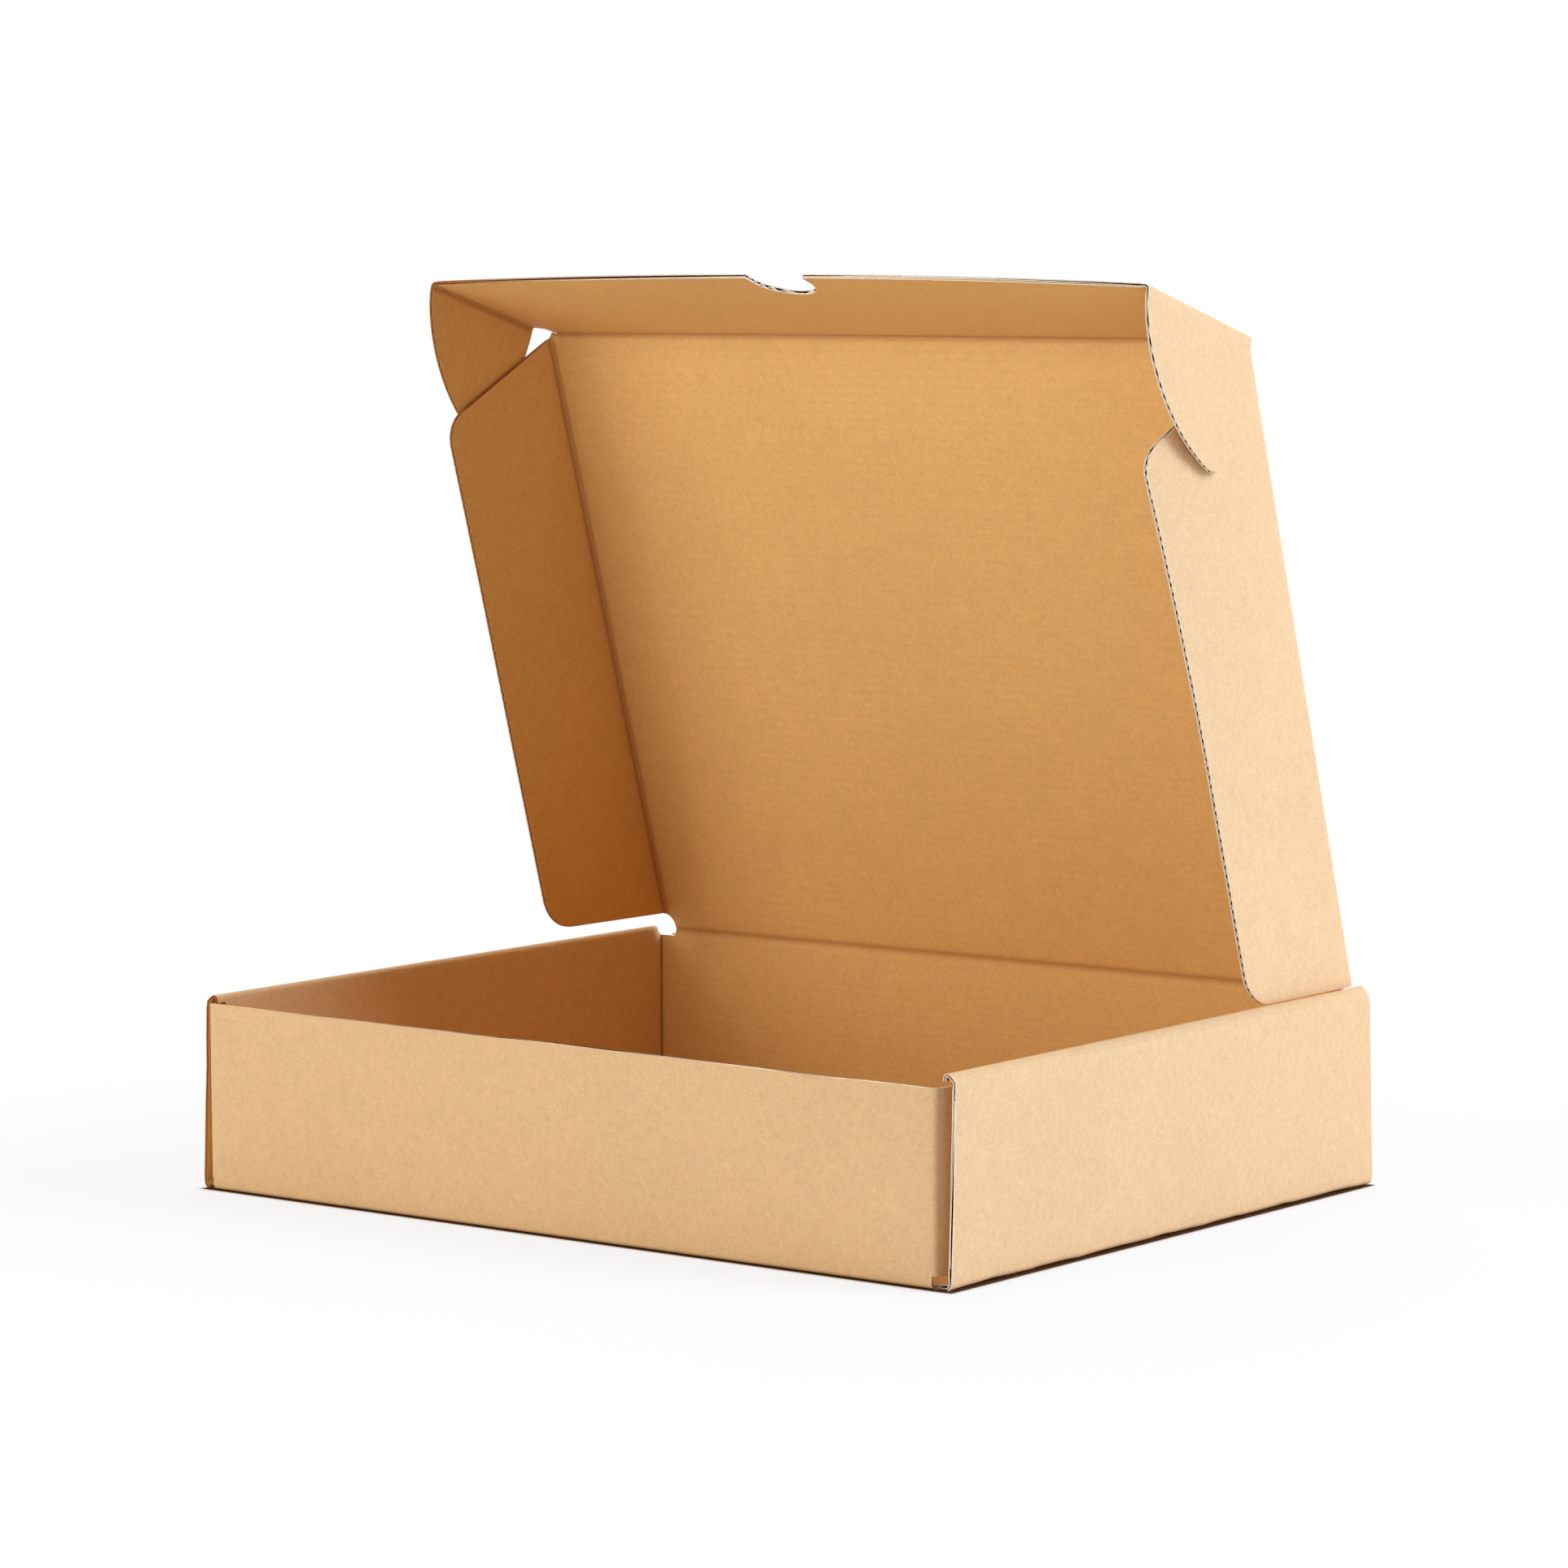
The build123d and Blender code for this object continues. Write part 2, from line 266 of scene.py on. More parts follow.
class LidSizes(bpy.types.PropertyGroup):
    """The lid, its wings, and the tuck flap with its ears."""
    wing_seat: length("Wing seat", 2.2, "From the tray's inner wall to a wing's outer face")
    wing_height: length("Wing height", 65.0, "From the lid's middle to a wing's free edge")
    wing_front_slope: angle("Wing front slope", 15.0, "How far a wing's front edge leans back")
    wing_rear_slope: angle("Wing rear slope", 16.4, "How far a wing's rear edge leans forward")
    wing_front_radius: length("Wing front radius", 11.0, "Rounded front corner of a wing")
    wing_rear_radius: length("Wing rear radius", 16.0, "Rounded rear corner of a wing")
    wing_twist: length("Wing twist", 1.6, "How far a wing's rear corner springs outwards")
    twist_reach: number("Twist reach", 0.75, "Share of the lid's length over which that dies away", "FACTOR")
    wing_shear: length("Wing shear", 2.0, "How much lower the right wing sits, and how much higher the left")
    wing_push: length("Wing push", 5.5, "How far the right wing's front corner is pushed in")
    push_start: number("Push start", 0.5, "Share of the lid's length where that begins", "FACTOR")
    crease_end: length("Crease end", 5.0, "How far the hinge creases stop short of the lid's sides")
    crease_notch: length("Crease notch", 3.2, "Depth of the relief notch in the back wall")
    lid_notch: length("Lid notch", 4.5, "Depth of the relief notch in the lid")
    front_notch: length("Front notch", 1.5, "Depth of the relief at the lid's front corners")
    left_notch: length("Left notch", 4.4, "From the front crease to the left wing's front edge at its root")
    left_slope: angle("Left slope", 11.0, "How far the left wing's front edge leans back")
    notch_radius: length("Notch radius", 2.5, "Rounded inner corner of a relief notch")
    front_notch_radius: length("Front notch radius", 1.0, "Rounded inner corner of the lid's front relief")
    tuck_height: length("Tuck height", 66.0, "From the front crease to the tuck flap's free edge")
    tuck_bow: length("Tuck bow", 3.0, "How far the middle of the free edge bows outwards")
    tuck_open: angle("Tuck open", 33.0, "How far the tuck flap stands past square to the lid")
    ear_seat: length("Ear seat", 0.3, "From the tray's inner wall to an ear's outer face")
    ear_depth: length("Ear depth", 52.0, "From the flap's face to an ear's far end")
    left_relief: length("Left ear relief", 7.6, "From the front crease to the left ear's lid-side edge")
    right_relief: length("Right ear relief", 1.4, "From the front crease to the right ear's lid-side edge")
    left_foot: length("Left ear foot", 15.0, "From the front crease to the corner at the left ear's tip")
    right_foot: length("Right ear foot", 3.5, "From the front crease to the corner at the right ear's tip")
    ear_fullness: number("Ear fullness", 1.7, "Shape of an ear's curve, 2 an ellipse, 1 a straight line")
    ear_radius: length("Ear radius", 9.0, "Rounded tip of an ear")
    thumb_width: length("Thumb width", 25.0, "Width of the thumb notch")
    thumb_depth: length("Thumb depth", 17.0, "Depth of the thumb notch")


class KraftLook(bpy.types.PropertyGroup):
    """Colours and sheen of the brown papers."""
    outside: colour("Outer liner", "#E5BA85", "Smooth brown kraft liner on the outside of the board")
    # The inner liner is drawn browner and more saturated than the outer one, as painted shade for the deep
    # shade inside the carton.
    inside: colour("Inner liner", "#E4B26A", "Browner kraft liner on the inside of the board")
    fleck: colour("Fleck", "#8C5A2C", "Bark flecks and dark fibres in the liner")
    pale: colour("Pale fibre", "#F2D2A6", "Pale long fibres in the liner")
    # Cut edges are paler paper fuzz, and this colour is drawn paler still as a painted highlight; it also
    # paints the pale flute hollows.
    edge: colour("Cut edge", "#FFEFD6", "Fuzzy cut edge of the papers")
    # Painted shade: cut edges and flutes on the left are mixed towards this brown.
    shaded: colour("Shaded edge", "#C4854A", "Cut edges and flutes that are rubbed brown, on the left")
    # Painted shade: the fluting paper is drawn near-black for the dark hollows of the flutes, though the real
    # paper is brown.
    medium: colour("Medium", "#1C0E06", "Dark recycled paper inside the flutes")
    # Painted shade: the inner liner is darkened towards this brown along its creases, where the hollow of the
    # fold lies in shade.
    crease: colour("Crease", "#A8612A", "Bruised paper along a crease of the inner liner")
    crease_shade_share: number("Crease share", 0.55, "How much of that colour a crease takes", "FACTOR")
    outer_stripe: number("Outer stripes", 0.004, "How much the flutes show through the outer liner", "FACTOR")
    inner_stripe: number("Inner stripes", 0.022, "How much the flutes show through the inner liner", "FACTOR")
    outer_gloss: number("Outer gloss", 0.4, "Specular level of the outer liner", "FACTOR")
    inner_gloss: number("Inner gloss", 0.25, "Specular level of the inner liner", "FACTOR")


class StageLook(bpy.types.PropertyGroup):
    """Floor, light and camera."""
    floor: colour("Floor", "#F4F4F4", "Pale floor")
    # Painted shadow: the floor right under the tray is given this dark colour, where next to no light gets.
    under: colour("Under", "#6E4728", "Floor right under the tray, where next to no light gets")
    painted_shadow_edge: length("Under edge", 1, "How far past the tray that dark floor fades out")
    shadow_reach: length("Shadow reach", 260, "How far from the tray the floor takes its shadow")
    contact_reach: length("Contact reach", 3, "How far from the tray the floor shows its full shadow")
    shadow_clear: number("Shadow clear", 0.8, "Share of the soft shadow past there left out", "FACTOR")
    key_tint: colour("Key tint", "#D8E6FF", "Cool daylight of the key")
    key_power: number("Key", 118, "Lamp on the right", unit="POWER")
    front_power: number("Front", 16.5, "Lamp in front", unit="POWER")
    left_power: number("Left", 14.5, "Lamp in front, on the left", unit="POWER")
    top_power: number("Top", 9, "Lamp overhead", unit="POWER")
    rear_power: number("Rear", 28, "Lamp behind, which lights the floor in front of the box", unit="POWER")
    ambient: number("Ambient", 0.01, "Light from all round")
    camera_place: bpy.props.FloatVectorProperty(
        name="Camera place", description="Where the camera stands", subtype="TRANSLATION", unit="LENGTH",
        default=(1.20384, -1.53876, 0.33744),
    )
    camera_turn: bpy.props.FloatVectorProperty(
        name="Camera turn", description="How the camera is turned", subtype="EULER", unit="ROTATION",
        default=[math.radians(a) for a in (84.339, 0.2614, 38.0303)],
    )
    lens: number("Lens", 127.8, "Focal length on a 36 mm frame", unit="CAMERA")


class Section:
    """Middle line of a bent board: straight runs joined by arcs, read by the length along it."""

    def __init__(self, points, radii, left=True):
        """Points in a plane, a radius for each inner corner, and the side that the outer face is on."""
        points = [np.array(p, float) for p in points]
        self.turn_side = 1.0 if left else -1.0
        self.spans = []
        self.bends = []
        place, at, t_last = points[0], 0.0, 0.0
        for i, radius in enumerate(radii, 1):
            a = (points[i] - points[i - 1]) / np.linalg.norm(points[i] - points[i - 1])
            b = (points[i + 1] - points[i]) / np.linalg.norm(points[i + 1] - points[i])
            turn = math.atan2(a[0] * b[1] - a[1] * b[0], a @ b)
            t = radius * math.tan(abs(turn) / 2)
            run = np.linalg.norm(points[i] - points[i - 1]) - t_last - t
            self.spans.append((at, place, a, 0.0))
            at, place = at + run, place + a * run
            self.spans.append((at, place, a, math.copysign(1 / radius, turn)))
            self.bends.append((at, at + radius * abs(turn), t))
            at, place, t_last = at + radius * abs(turn), points[i] + b * t, t
        last = (points[-1] - points[-2]) / np.linalg.norm(points[-1] - points[-2])
        self.spans.append((at, place, last, 0.0))

    def before(self, bend, distance):
        """Length along the line of a point that far before a corner."""
        start, _, t = self.bends[bend]
        return start + t - distance

    def past(self, bend, distance):
        """Length along the line of a point that far past a corner."""
        _, end, t = self.bends[bend]
        return end - t + distance

    def at(self, lengths):
        """Points of the line and outward normals at these lengths."""
        spot = np.zeros((len(lengths), 2))
        way = np.zeros((len(lengths), 2))
        starts = [-np.inf] + [span[0] for span in self.spans[1:]]
        which = np.searchsorted(starts, lengths, side="right") - 1
        for i, (start, place, direction, curve) in enumerate(self.spans):
            here = which == i
            run = lengths[here] - start
            side = np.array([-direction[1], direction[0]])
            if curve:
                turned = run * curve
                ahead, aside = np.sin(turned) / curve, (1 - np.cos(turned)) / curve
                spot[here] = place + np.outer(ahead, direction) + np.outer(aside, side)
                way[here] = np.outer(np.cos(turned), direction) + np.outer(np.sin(turned), side)
            else:
                spot[here] = place + np.outer(run, direction)
                way[here] = direction
        normal = self.turn_side * np.column_stack([-way[:, 1], way[:, 0]])
        return spot, normal

    def lines(self, steps, beside):
        """Lengths at which a sheet is divided: round its bends, and at these distances from them."""
        found = []
        for start, end, _ in self.bends:
            found += list(np.linspace(start, end, max(steps, round((end - start) / BEND_STEP)) + 1))
            found += [start - distance for distance in beside] + [end + distance for distance in beside]
        return found

    def crushed(self, lengths, crush_width):
        """How much of the full crush each place has, from 0 to 1."""
        press = np.zeros(len(lengths))
        for start, end, _ in self.bends:
            away = np.maximum(np.maximum(start - lengths, lengths - end), 0)
            press = np.maximum(press, np.exp(-(away / crush_width) ** 2))
        return press


def carton_sizes(scene):
    """The carton's sizes: the board's, the tray's and the lid's, with those that follow from them."""
    board, tray, lid = scene.carton_board, scene.carton_tray, scene.carton_lid
    c = SimpleNamespace(board=board, tray=tray, lid=lid)
    c.half_board = board.board / 2
    c.half_width = (TRAY_HIGH.x - TRAY_LOW.x) / 2
    c.half_depth = (TRAY_HIGH.y - TRAY_LOW.y) / 2
    c.hinge = np.array(JOINT_PLACES["lid_hinge"][1:])
    c.fold = np.array(JOINT_PLACES["tuck_hinge"][1:])
    c.roll_span = 2 * board.board + 2 * tray.layer_gap
    c.inner_face = c.half_width - c.roll_span - board.board
    c.flap_middle = c.half_width - board.board - tray.layer_gap - c.half_board
    c.foot_end = c.flap_middle - tray.foot_gap
    c.left_end = c.flap_middle - tray.left_gap
    c.seat = board.board + tray.tab_gap
    c.wing_middle = c.inner_face - lid.wing_seat - c.half_board
    c.ear_middle = c.inner_face - lid.ear_seat - c.half_board
    c.crease_half = c.wing_middle + c.half_board - lid.crease_end
    c.lid_length = float(np.linalg.norm(c.fold - c.hinge))
    c.lid_way = (c.fold - c.hinge) / c.lid_length
    lean = math.atan2(c.lid_way[1], c.lid_way[0]) + math.pi / 2 - lid.tuck_open
    c.tuck_way = np.array([math.cos(lean), math.sin(lean)])
    return c


def add_node(tree, kind, inputs=None, **settings):
    """Add a node with its settings, and fill its inputs with values or with other nodes' outputs."""
    made = tree.nodes.new(kind)
    for name, value in settings.items():
        setattr(made, name, value)
    for key, value in (inputs or {}).items():
        if isinstance(value, bpy.types.NodeSocket):
            tree.links.new(value, made.inputs[key])
        elif isinstance(value, list):
            for socket in value:
                tree.links.new(socket, made.inputs[key])
        else:
            made.inputs[key].default_value = value
    return made


def new_tree(name, sizes, papers):
    """Empty geometry tree with a mesh coming in, a mesh going out, and named sizes and papers."""
    tree = bpy.data.node_groups.new(name, "GeometryNodeTree")
    tree.interface.new_socket("Sheet", in_out="INPUT", socket_type="NodeSocketGeometry")
    for size in sizes:
        tree.interface.new_socket(size, in_out="INPUT", socket_type="NodeSocketFloat")
    for paper in papers:
        tree.interface.new_socket(paper, in_out="INPUT", socket_type="NodeSocketMaterial")
    tree.interface.new_socket("Board", in_out="OUTPUT", socket_type="NodeSocketGeometry")
    return tree, tree.nodes.new("NodeGroupInput").outputs


def thickened(tree, sheet, thickness):
    """Closed plate on a sheet: the sheet pushed out along its normals, its sides, and its back."""
    raised = add_node(
        tree, "GeometryNodeExtrudeMesh", {"Mesh": sheet, "Offset Scale": thickness, "Individual": False}
    ).outputs["Mesh"]
    back = add_node(tree, "GeometryNodeFlipFaces", {"Mesh": sheet}).outputs["Mesh"]
    shell = add_node(tree, "GeometryNodeJoinGeometry", {"Geometry": [raised, back]}).outputs[0]
    welded = add_node(tree, "GeometryNodeMergeByDistance", {"Geometry": shell, "Distance": WELD_DISTANCE})
    return welded.outputs["Geometry"]


def face_tests(tree):
    """Selections of a flat board's faces: cut edges, the inner side, what looks into the flutes, and up."""
    place = add_node(tree, "GeometryNodeInputPosition")
    level = add_node(tree, "ShaderNodeSeparateXYZ", {0: place.outputs[0]}).outputs["Z"]
    normal = add_node(tree, "GeometryNodeInputNormal")
    facing = add_node(tree, "ShaderNodeSeparateXYZ", {0: normal.outputs[0]}).outputs["Z"]
    tilt = add_node(tree, "ShaderNodeMath", {0: facing}, operation="ABSOLUTE").outputs[0]
    cut = add_node(tree, "ShaderNodeMath", {0: tilt, 1: CUT_TILT}, operation="LESS_THAN").outputs[0]
    inside = add_node(tree, "ShaderNodeMath", {0: level, 1: 0.0}, operation="LESS_THAN").outputs[0]
    outward = add_node(tree, "ShaderNodeMath", {0: facing, 1: level}, operation="MULTIPLY").outputs[0]
    hidden = add_node(tree, "ShaderNodeMath", {0: outward, 1: 0.0}, operation="LESS_THAN").outputs[0]
    up = add_node(tree, "ShaderNodeMath", {0: facing, 1: 0.0}, operation="GREATER_THAN").outputs[0]
    return cut, inside, hidden, up


def end_tree(tree, shape, papers):
    """Close a tree: plain geometry with its papers, each given with the faces that it covers."""
    dressed = add_node(tree, "GeometryNodeRealizeInstances", {"Geometry": shape})
    for paper, covers in papers:
        dressed = add_node(
            tree, "GeometryNodeSetMaterial",
            {"Geometry": dressed.outputs[0], "Selection": covers, "Material": paper},
        )
    add_node(tree, "NodeGroupOutput", {"Board": dressed.outputs[0]})


def liners_tree():
    """Two flat liners, one on each face of the board."""
    tree, given = new_tree(
        "liners", ("Board thickness", "Outer liner", "Inner liner"),
        ("Outer paper", "Inner paper", "Edge", "Medium"),
    )
    half = add_node(tree, "ShaderNodeMath", {0: given["Board thickness"], 1: 0.5}, operation="MULTIPLY")
    outer = add_node(
        tree, "ShaderNodeMath", {0: half.outputs[0], 1: given["Outer liner"]}, operation="SUBTRACT"
    )
    inner = add_node(tree, "ShaderNodeMath", {0: half.outputs[0], 1: -1.0}, operation="MULTIPLY")
    plates = []
    for level, liner in ((outer, "Outer liner"), (inner, "Inner liner")):
        lift = add_node(tree, "ShaderNodeCombineXYZ", {"Z": level.outputs[0]})
        placed = add_node(
            tree, "GeometryNodeSetPosition", {"Geometry": given["Sheet"], "Offset": lift.outputs[0]}
        )
        plates.append(thickened(tree, placed.outputs[0], given[liner]))
    both = add_node(tree, "GeometryNodeJoinGeometry", {"Geometry": plates})
    cut, inside, hidden, up = face_tests(tree)
    # Painted shade and light inside the board: faces that look into the flutes are near-black, but the inner
    # liner's upper face there is pale, so the hollows read dark and pale in turn.
    painted_lit = add_node(tree, "ShaderNodeMath", {0: hidden, 1: up}, operation="MULTIPLY").outputs[0]
    end_tree(
        tree, both.outputs[0],
        [(given["Outer paper"], True), (given["Inner paper"], inside), (given["Medium"], hidden),
         (given["Edge"], painted_lit), (given["Edge"], cut)],
    )


def flutes_tree():
    """Fluted medium: the sheet waved across its flutes, which run along the sheet's first direction."""
    tree, given = new_tree(
        "flutes", ("Pitch", "Skew", "Height", "Middle", "Thickness"), ("Medium", "Edge")
    )
    place = add_node(tree, "GeometryNodeInputPosition")
    across = add_node(tree, "ShaderNodeSeparateXYZ", {0: place.outputs[0]}).outputs
    run = add_node(
        tree, "ShaderNodeMath", {0: across["X"], 1: given["Skew"], 2: across["Y"]}, operation="MULTIPLY_ADD"
    )
    count = add_node(tree, "ShaderNodeMath", {0: run.outputs[0], 1: given["Pitch"]}, operation="DIVIDE")
    phase = add_node(tree, "ShaderNodeMath", {0: count.outputs[0], 1: math.tau}, operation="MULTIPLY")
    wave = add_node(tree, "ShaderNodeMath", {0: phase.outputs[0]}, operation="SINE")
    room = add_node(tree, "ShaderNodeMath", {0: given["Height"], 1: given["Thickness"]}, operation="SUBTRACT")
    swing = add_node(tree, "ShaderNodeMath", {0: room.outputs[0], 1: 0.5}, operation="MULTIPLY")
    foot = add_node(
        tree, "ShaderNodeMath", {0: given["Thickness"], 1: -0.5, 2: given["Middle"]}, operation="MULTIPLY_ADD"
    )
    height = add_node(
        tree, "ShaderNodeMath",
        {0: wave.outputs[0], 1: swing.outputs[0], 2: foot.outputs[0]}, operation="MULTIPLY_ADD",
    )
    lift = add_node(tree, "ShaderNodeCombineXYZ", {"Z": height.outputs[0]})
    waved = add_node(tree, "GeometryNodeSetPosition", {"Geometry": given["Sheet"], "Offset": lift.outputs[0]})
    cut, _, _, up = face_tests(tree)
    core = thickened(tree, waved.outputs[0], given["Thickness"])
    # Painted shade and light: the fluted paper is near-black on its upper faces and pale on its lower ones,
    # so its hollows read dark and pale in turn.
    end_tree(tree, core, [(given["Edge"], True), (given["Medium"], up), (given["Edge"], cut)])


def rounded_loop(corners):
    """Points of a closed outline from corners (u, v, radius), with an arc at each rounded one."""
    loop = []
    for i, (u, v, radius) in enumerate(corners):
        here = np.array([u, v])
        if not radius:
            loop.append(here)
            continue
        back = np.array(corners[i - 1][:2]) - here
        ahead = np.array(corners[(i + 1) % len(corners)][:2]) - here
        back, ahead = back / np.linalg.norm(back), ahead / np.linalg.norm(ahead)
        half = math.acos(np.clip(back @ ahead, -1, 1)) / 2
        centre = here + (back + ahead) / np.linalg.norm(back + ahead) * radius / math.sin(half)
        first = here + back * radius / math.tan(half) - centre
        turn = math.copysign(math.pi - 2 * half, back[1] * ahead[0] - back[0] * ahead[1])
        steps = max(ARC_LEAST, round(abs(turn) * radius / ARC_STEP))
        for k in range(steps + 1):
            cos, sin = math.cos(turn * k / steps), math.sin(turn * k / steps)
            loop.append(centre + [first[0] * cos - first[1] * sin, first[0] * sin + first[1] * cos])
    return loop


def both_halves(right, left=None):
    """Corners of a whole outline from those of its right half, in order, and of its left if it differs."""
    return right + [(-u, v, r) for u, v, r in reversed(left or right)]


def divide(bm, axis, places):
    """Cut a flat sheet along lines across one direction, in order."""
    ahead = bm.faces[:]
    normal = Vector((axis == 0, axis == 1, 0))
    for place in sorted(set(places)):
        rim = {e for f in ahead for e in f.edges} | {v for f in ahead for v in f.verts}
        cut = bmesh.ops.bisect_plane(
            bm, geom=ahead + list(rim), dist=CUT_TOLERANCE, plane_co=normal * place, plane_no=normal
        )
        faces = [g for g in cut["geom"] if isinstance(g, bmesh.types.BMFace)]
        ahead = [
            f for f in faces
            if f.calc_center_bounds()[axis] > place or max(v.co[axis] for v in f.verts) > place
        ]


def flat_sheet(corners, u_lines, v_lines, slots):
    """Flat die-cut sheet as a mesh, divided along lines, without its slots (u low, u high, v low, v high)."""
    bm = bmesh.new()
    face = bm.faces.new([bm.verts.new((u, v, 0)) for u, v in rounded_loop(corners)])
    face.normal_update()
    if face.normal.z < 0:
        face.normal_flip()
    divide(bm, 0, u_lines)
    divide(bm, 1, v_lines)
    for u0, u1, v0, v1 in slots:
        middles = [(f, f.calc_center_median()) for f in bm.faces]
        inside = [f for f, middle in middles if u0 < middle.x < u1 and v0 < middle.y < v1]
        bmesh.ops.delete(bm, geom=inside, context="FACES")
    mesh = bpy.data.meshes.new("flat_sheet")
    bm.to_mesh(mesh)
    bm.free()
    return mesh


def run_tree(mesh, tree, values):
    """Plain mesh that a node tree makes of a flat sheet."""
    holder = bpy.data.objects.new("sheet", mesh)
    bpy.context.scene.collection.objects.link(holder)
    modifier = holder.modifiers.new(tree.name, "NODES")
    modifier.node_group = tree
    for item in tree.interface.items_tree:
        if item.in_out == "INPUT" and item.name in values:
            modifier[item.identifier] = values[item.name]
    graph = bpy.context.evaluated_depsgraph_get()
    made = bpy.data.meshes.new_from_object(holder.evaluated_get(graph), depsgraph=graph)
    bpy.data.objects.remove(holder)
    bpy.data.meshes.remove(mesh)
    return made


def waver(lengths, wave_length, seed):
    """Smooth unevenness between -1 and 1 along an edge, the same at every run."""
    total = np.zeros(len(lengths))
    for k, share in enumerate(WAVE_SHARES):
        turned = math.tau * lengths / wave_length * (1 + WAVE_STEP * k)
        total += share * np.sin(turned + seed * (k + WAVE_SHIFT))
    return total


def evenly(low, high, step):
    """Places from low to high, about a step apart."""
    return list(np.linspace(low, high, max(2, round((high - low) / step) + 1)))


def corrugated(name, c, corners, across, along, warp=None, slots=(), raised=None):
    """Folded piece of real board: liners and flutes from one die-cut outline, folded about its sections.

    The first two sections bend the sheet across its width, on the right and on the left of its middle, and
    the third along its length. warp takes and returns flat points (u, v, w), w being through the board,
    and raised gives how far up the places (u, v) are moved once the board is folded.
    """
    board = c.board
    papers = board_papers(bpy.context.scene)
    loop = np.array(rounded_loop(corners))
    low, high = loop.min(0), loop.max(0)

    def divided(steps, beside, u_step, v_step):
        """Flat sheet with lines at its bends and slots, and these far apart elsewhere."""
        u_lines = [side * u for side, s in zip((1, -1), across) for u in s.lines(steps, beside)]
        u_lines += [edge for slot in slots for edge in slot[:2]] + evenly(low[0], high[0], u_step)
        v_lines = along.lines(steps, beside)
        v_lines += [edge for slot in slots for edge in slot[2:]] + evenly(low[1], high[1], v_step)
        return flat_sheet(corners, u_lines, v_lines, slots)

    faces = run_tree(
        divided(LINER_STEPS, [board.crush_width * k for k in LINER_BESIDE], *LINER_GRID),
        bpy.data.node_groups["liners"],
        {"Board thickness": board.board, "Outer liner": board.outer_liner, "Inner liner": board.inner_liner,
         **papers},
    )
    core = run_tree(
        divided(FLUTE_STEPS, FLUTE_BESIDE, FLUTE_RUN, board.pitch / FLUTE_PARTS),
        bpy.data.node_groups["flutes"],
        {"Pitch": board.pitch, "Skew": board.skew, "Thickness": board.paper,
         "Height": board.board - board.outer_liner - board.inner_liner,
         "Middle": (board.inner_liner - board.outer_liner) / 2, **papers},
    )
    mesh = joined(name, (faces, core), list(papers.values()))
    flat = np.zeros(len(mesh.vertices) * 3)
    mesh.vertices.foreach_get("co", flat)
    flat = flat.reshape(-1, 3)
    pressed = along.crushed(flat[:, 1], board.crush_width)
    for side, section in zip((1, -1), across):
        pressed = np.maximum(pressed, section.crushed(side * flat[:, 0], board.crush_width))
    kept = mesh.attributes.new(BLANK, "FLOAT_VECTOR", "POINT")
    kept.data.foreach_set("vector", (flat + [0, BLANK_ROWS[name], 0]).ravel())
    # This nearness to a crease is what the inner liner reads to paint shade along its creases.
    crease_shade_mask = mesh.attributes.new(CREASE, "FLOAT", "POINT")
    crease_shade_mask.data.foreach_set("value", pressed)
    flat[:, 2] *= 1 - board.crush * pressed
    places = folded(flat, across, along, warp)
    if raised:
        places[:, 2] += raised(flat[:, 0], flat[:, 1])
    mesh.vertices.foreach_set("co", places.ravel())
    mesh.polygons.foreach_set("use_smooth", np.ones(len(mesh.polygons), bool))
    mesh.set_sharp_from_angle(angle=math.radians(SHARP_ANGLE))
    mesh.update()
    piece = bpy.data.objects.new(name, mesh)
    bpy.context.scene.collection.objects.link(piece)
    return piece


def board_papers(scene):
    """The board's four papers, by the names of the inputs that take them."""
    kraft = scene.carton_kraft
    return {
        "Outer paper": kraft_liner(
            scene, "kraft_liner_outside", kraft.outside, 0.0, kraft.outer_stripe, kraft.outer_gloss
        ),
        "Inner paper": kraft_liner(
            scene, "kraft_liner_inside", kraft.inside, kraft.crease_shade_share,
            kraft.inner_stripe, kraft.inner_gloss,
        ),
        "Edge": rough_paper(scene, "cut_kraft_edge", kraft.edge),
        "Medium": rough_paper(scene, "recycled_fluting_paper", kraft.medium),
    }


def joined(name, meshes, papers):
    """One mesh made of several, with all the papers in a fixed order."""
    bm = bmesh.new()
    for mesh in meshes:
        order = np.array([papers.index(paper) if paper else 0 for paper in mesh.materials], np.int32)
        given = np.zeros(len(mesh.polygons), np.int32)
        mesh.polygons.foreach_get("material_index", given)
        mesh.polygons.foreach_set("material_index", order[given])
        bm.from_mesh(mesh)
        bpy.data.meshes.remove(mesh)
    whole = bpy.data.meshes.new(name)
    for paper in papers:
        whole.materials.append(paper)
    bm.to_mesh(whole)
    bm.free()
    return whole


def folded(flat, across, along, warp):
    """Flat points (u, v, w) carried round the folds: panels warped, then board bent."""
    u, v, w = flat.T
    if warp:
        u, v, w = warp(u, v, w)
    x, lift = np.zeros(len(u)), np.zeros(len(u))
    for side, section, here in zip((1, -1), across, (u >= 0, u < 0)):
        spot, normal = section.at(side * u[here])
        x[here] = side * (spot[:, 0] + w[here] * normal[:, 0])
        lift[here] = spot[:, 1] + w[here] * normal[:, 1]
    spot, normal = along.at(v)
    return np.column_stack([x, spot[:, 0] + lift * normal[:, 0], spot[:, 1] + lift * normal[:, 1]])


def new_paper(name):
    """Empty paper: its material, node tree and shader, and each point's place on the flat sheet."""
    material = bpy.data.materials.new(name)
    material.use_nodes = True
    tree = material.node_tree
    place = add_node(tree, "ShaderNodeAttribute", attribute_name=BLANK).outputs["Vector"]
    return material, tree, tree.nodes["Principled BSDF"], place


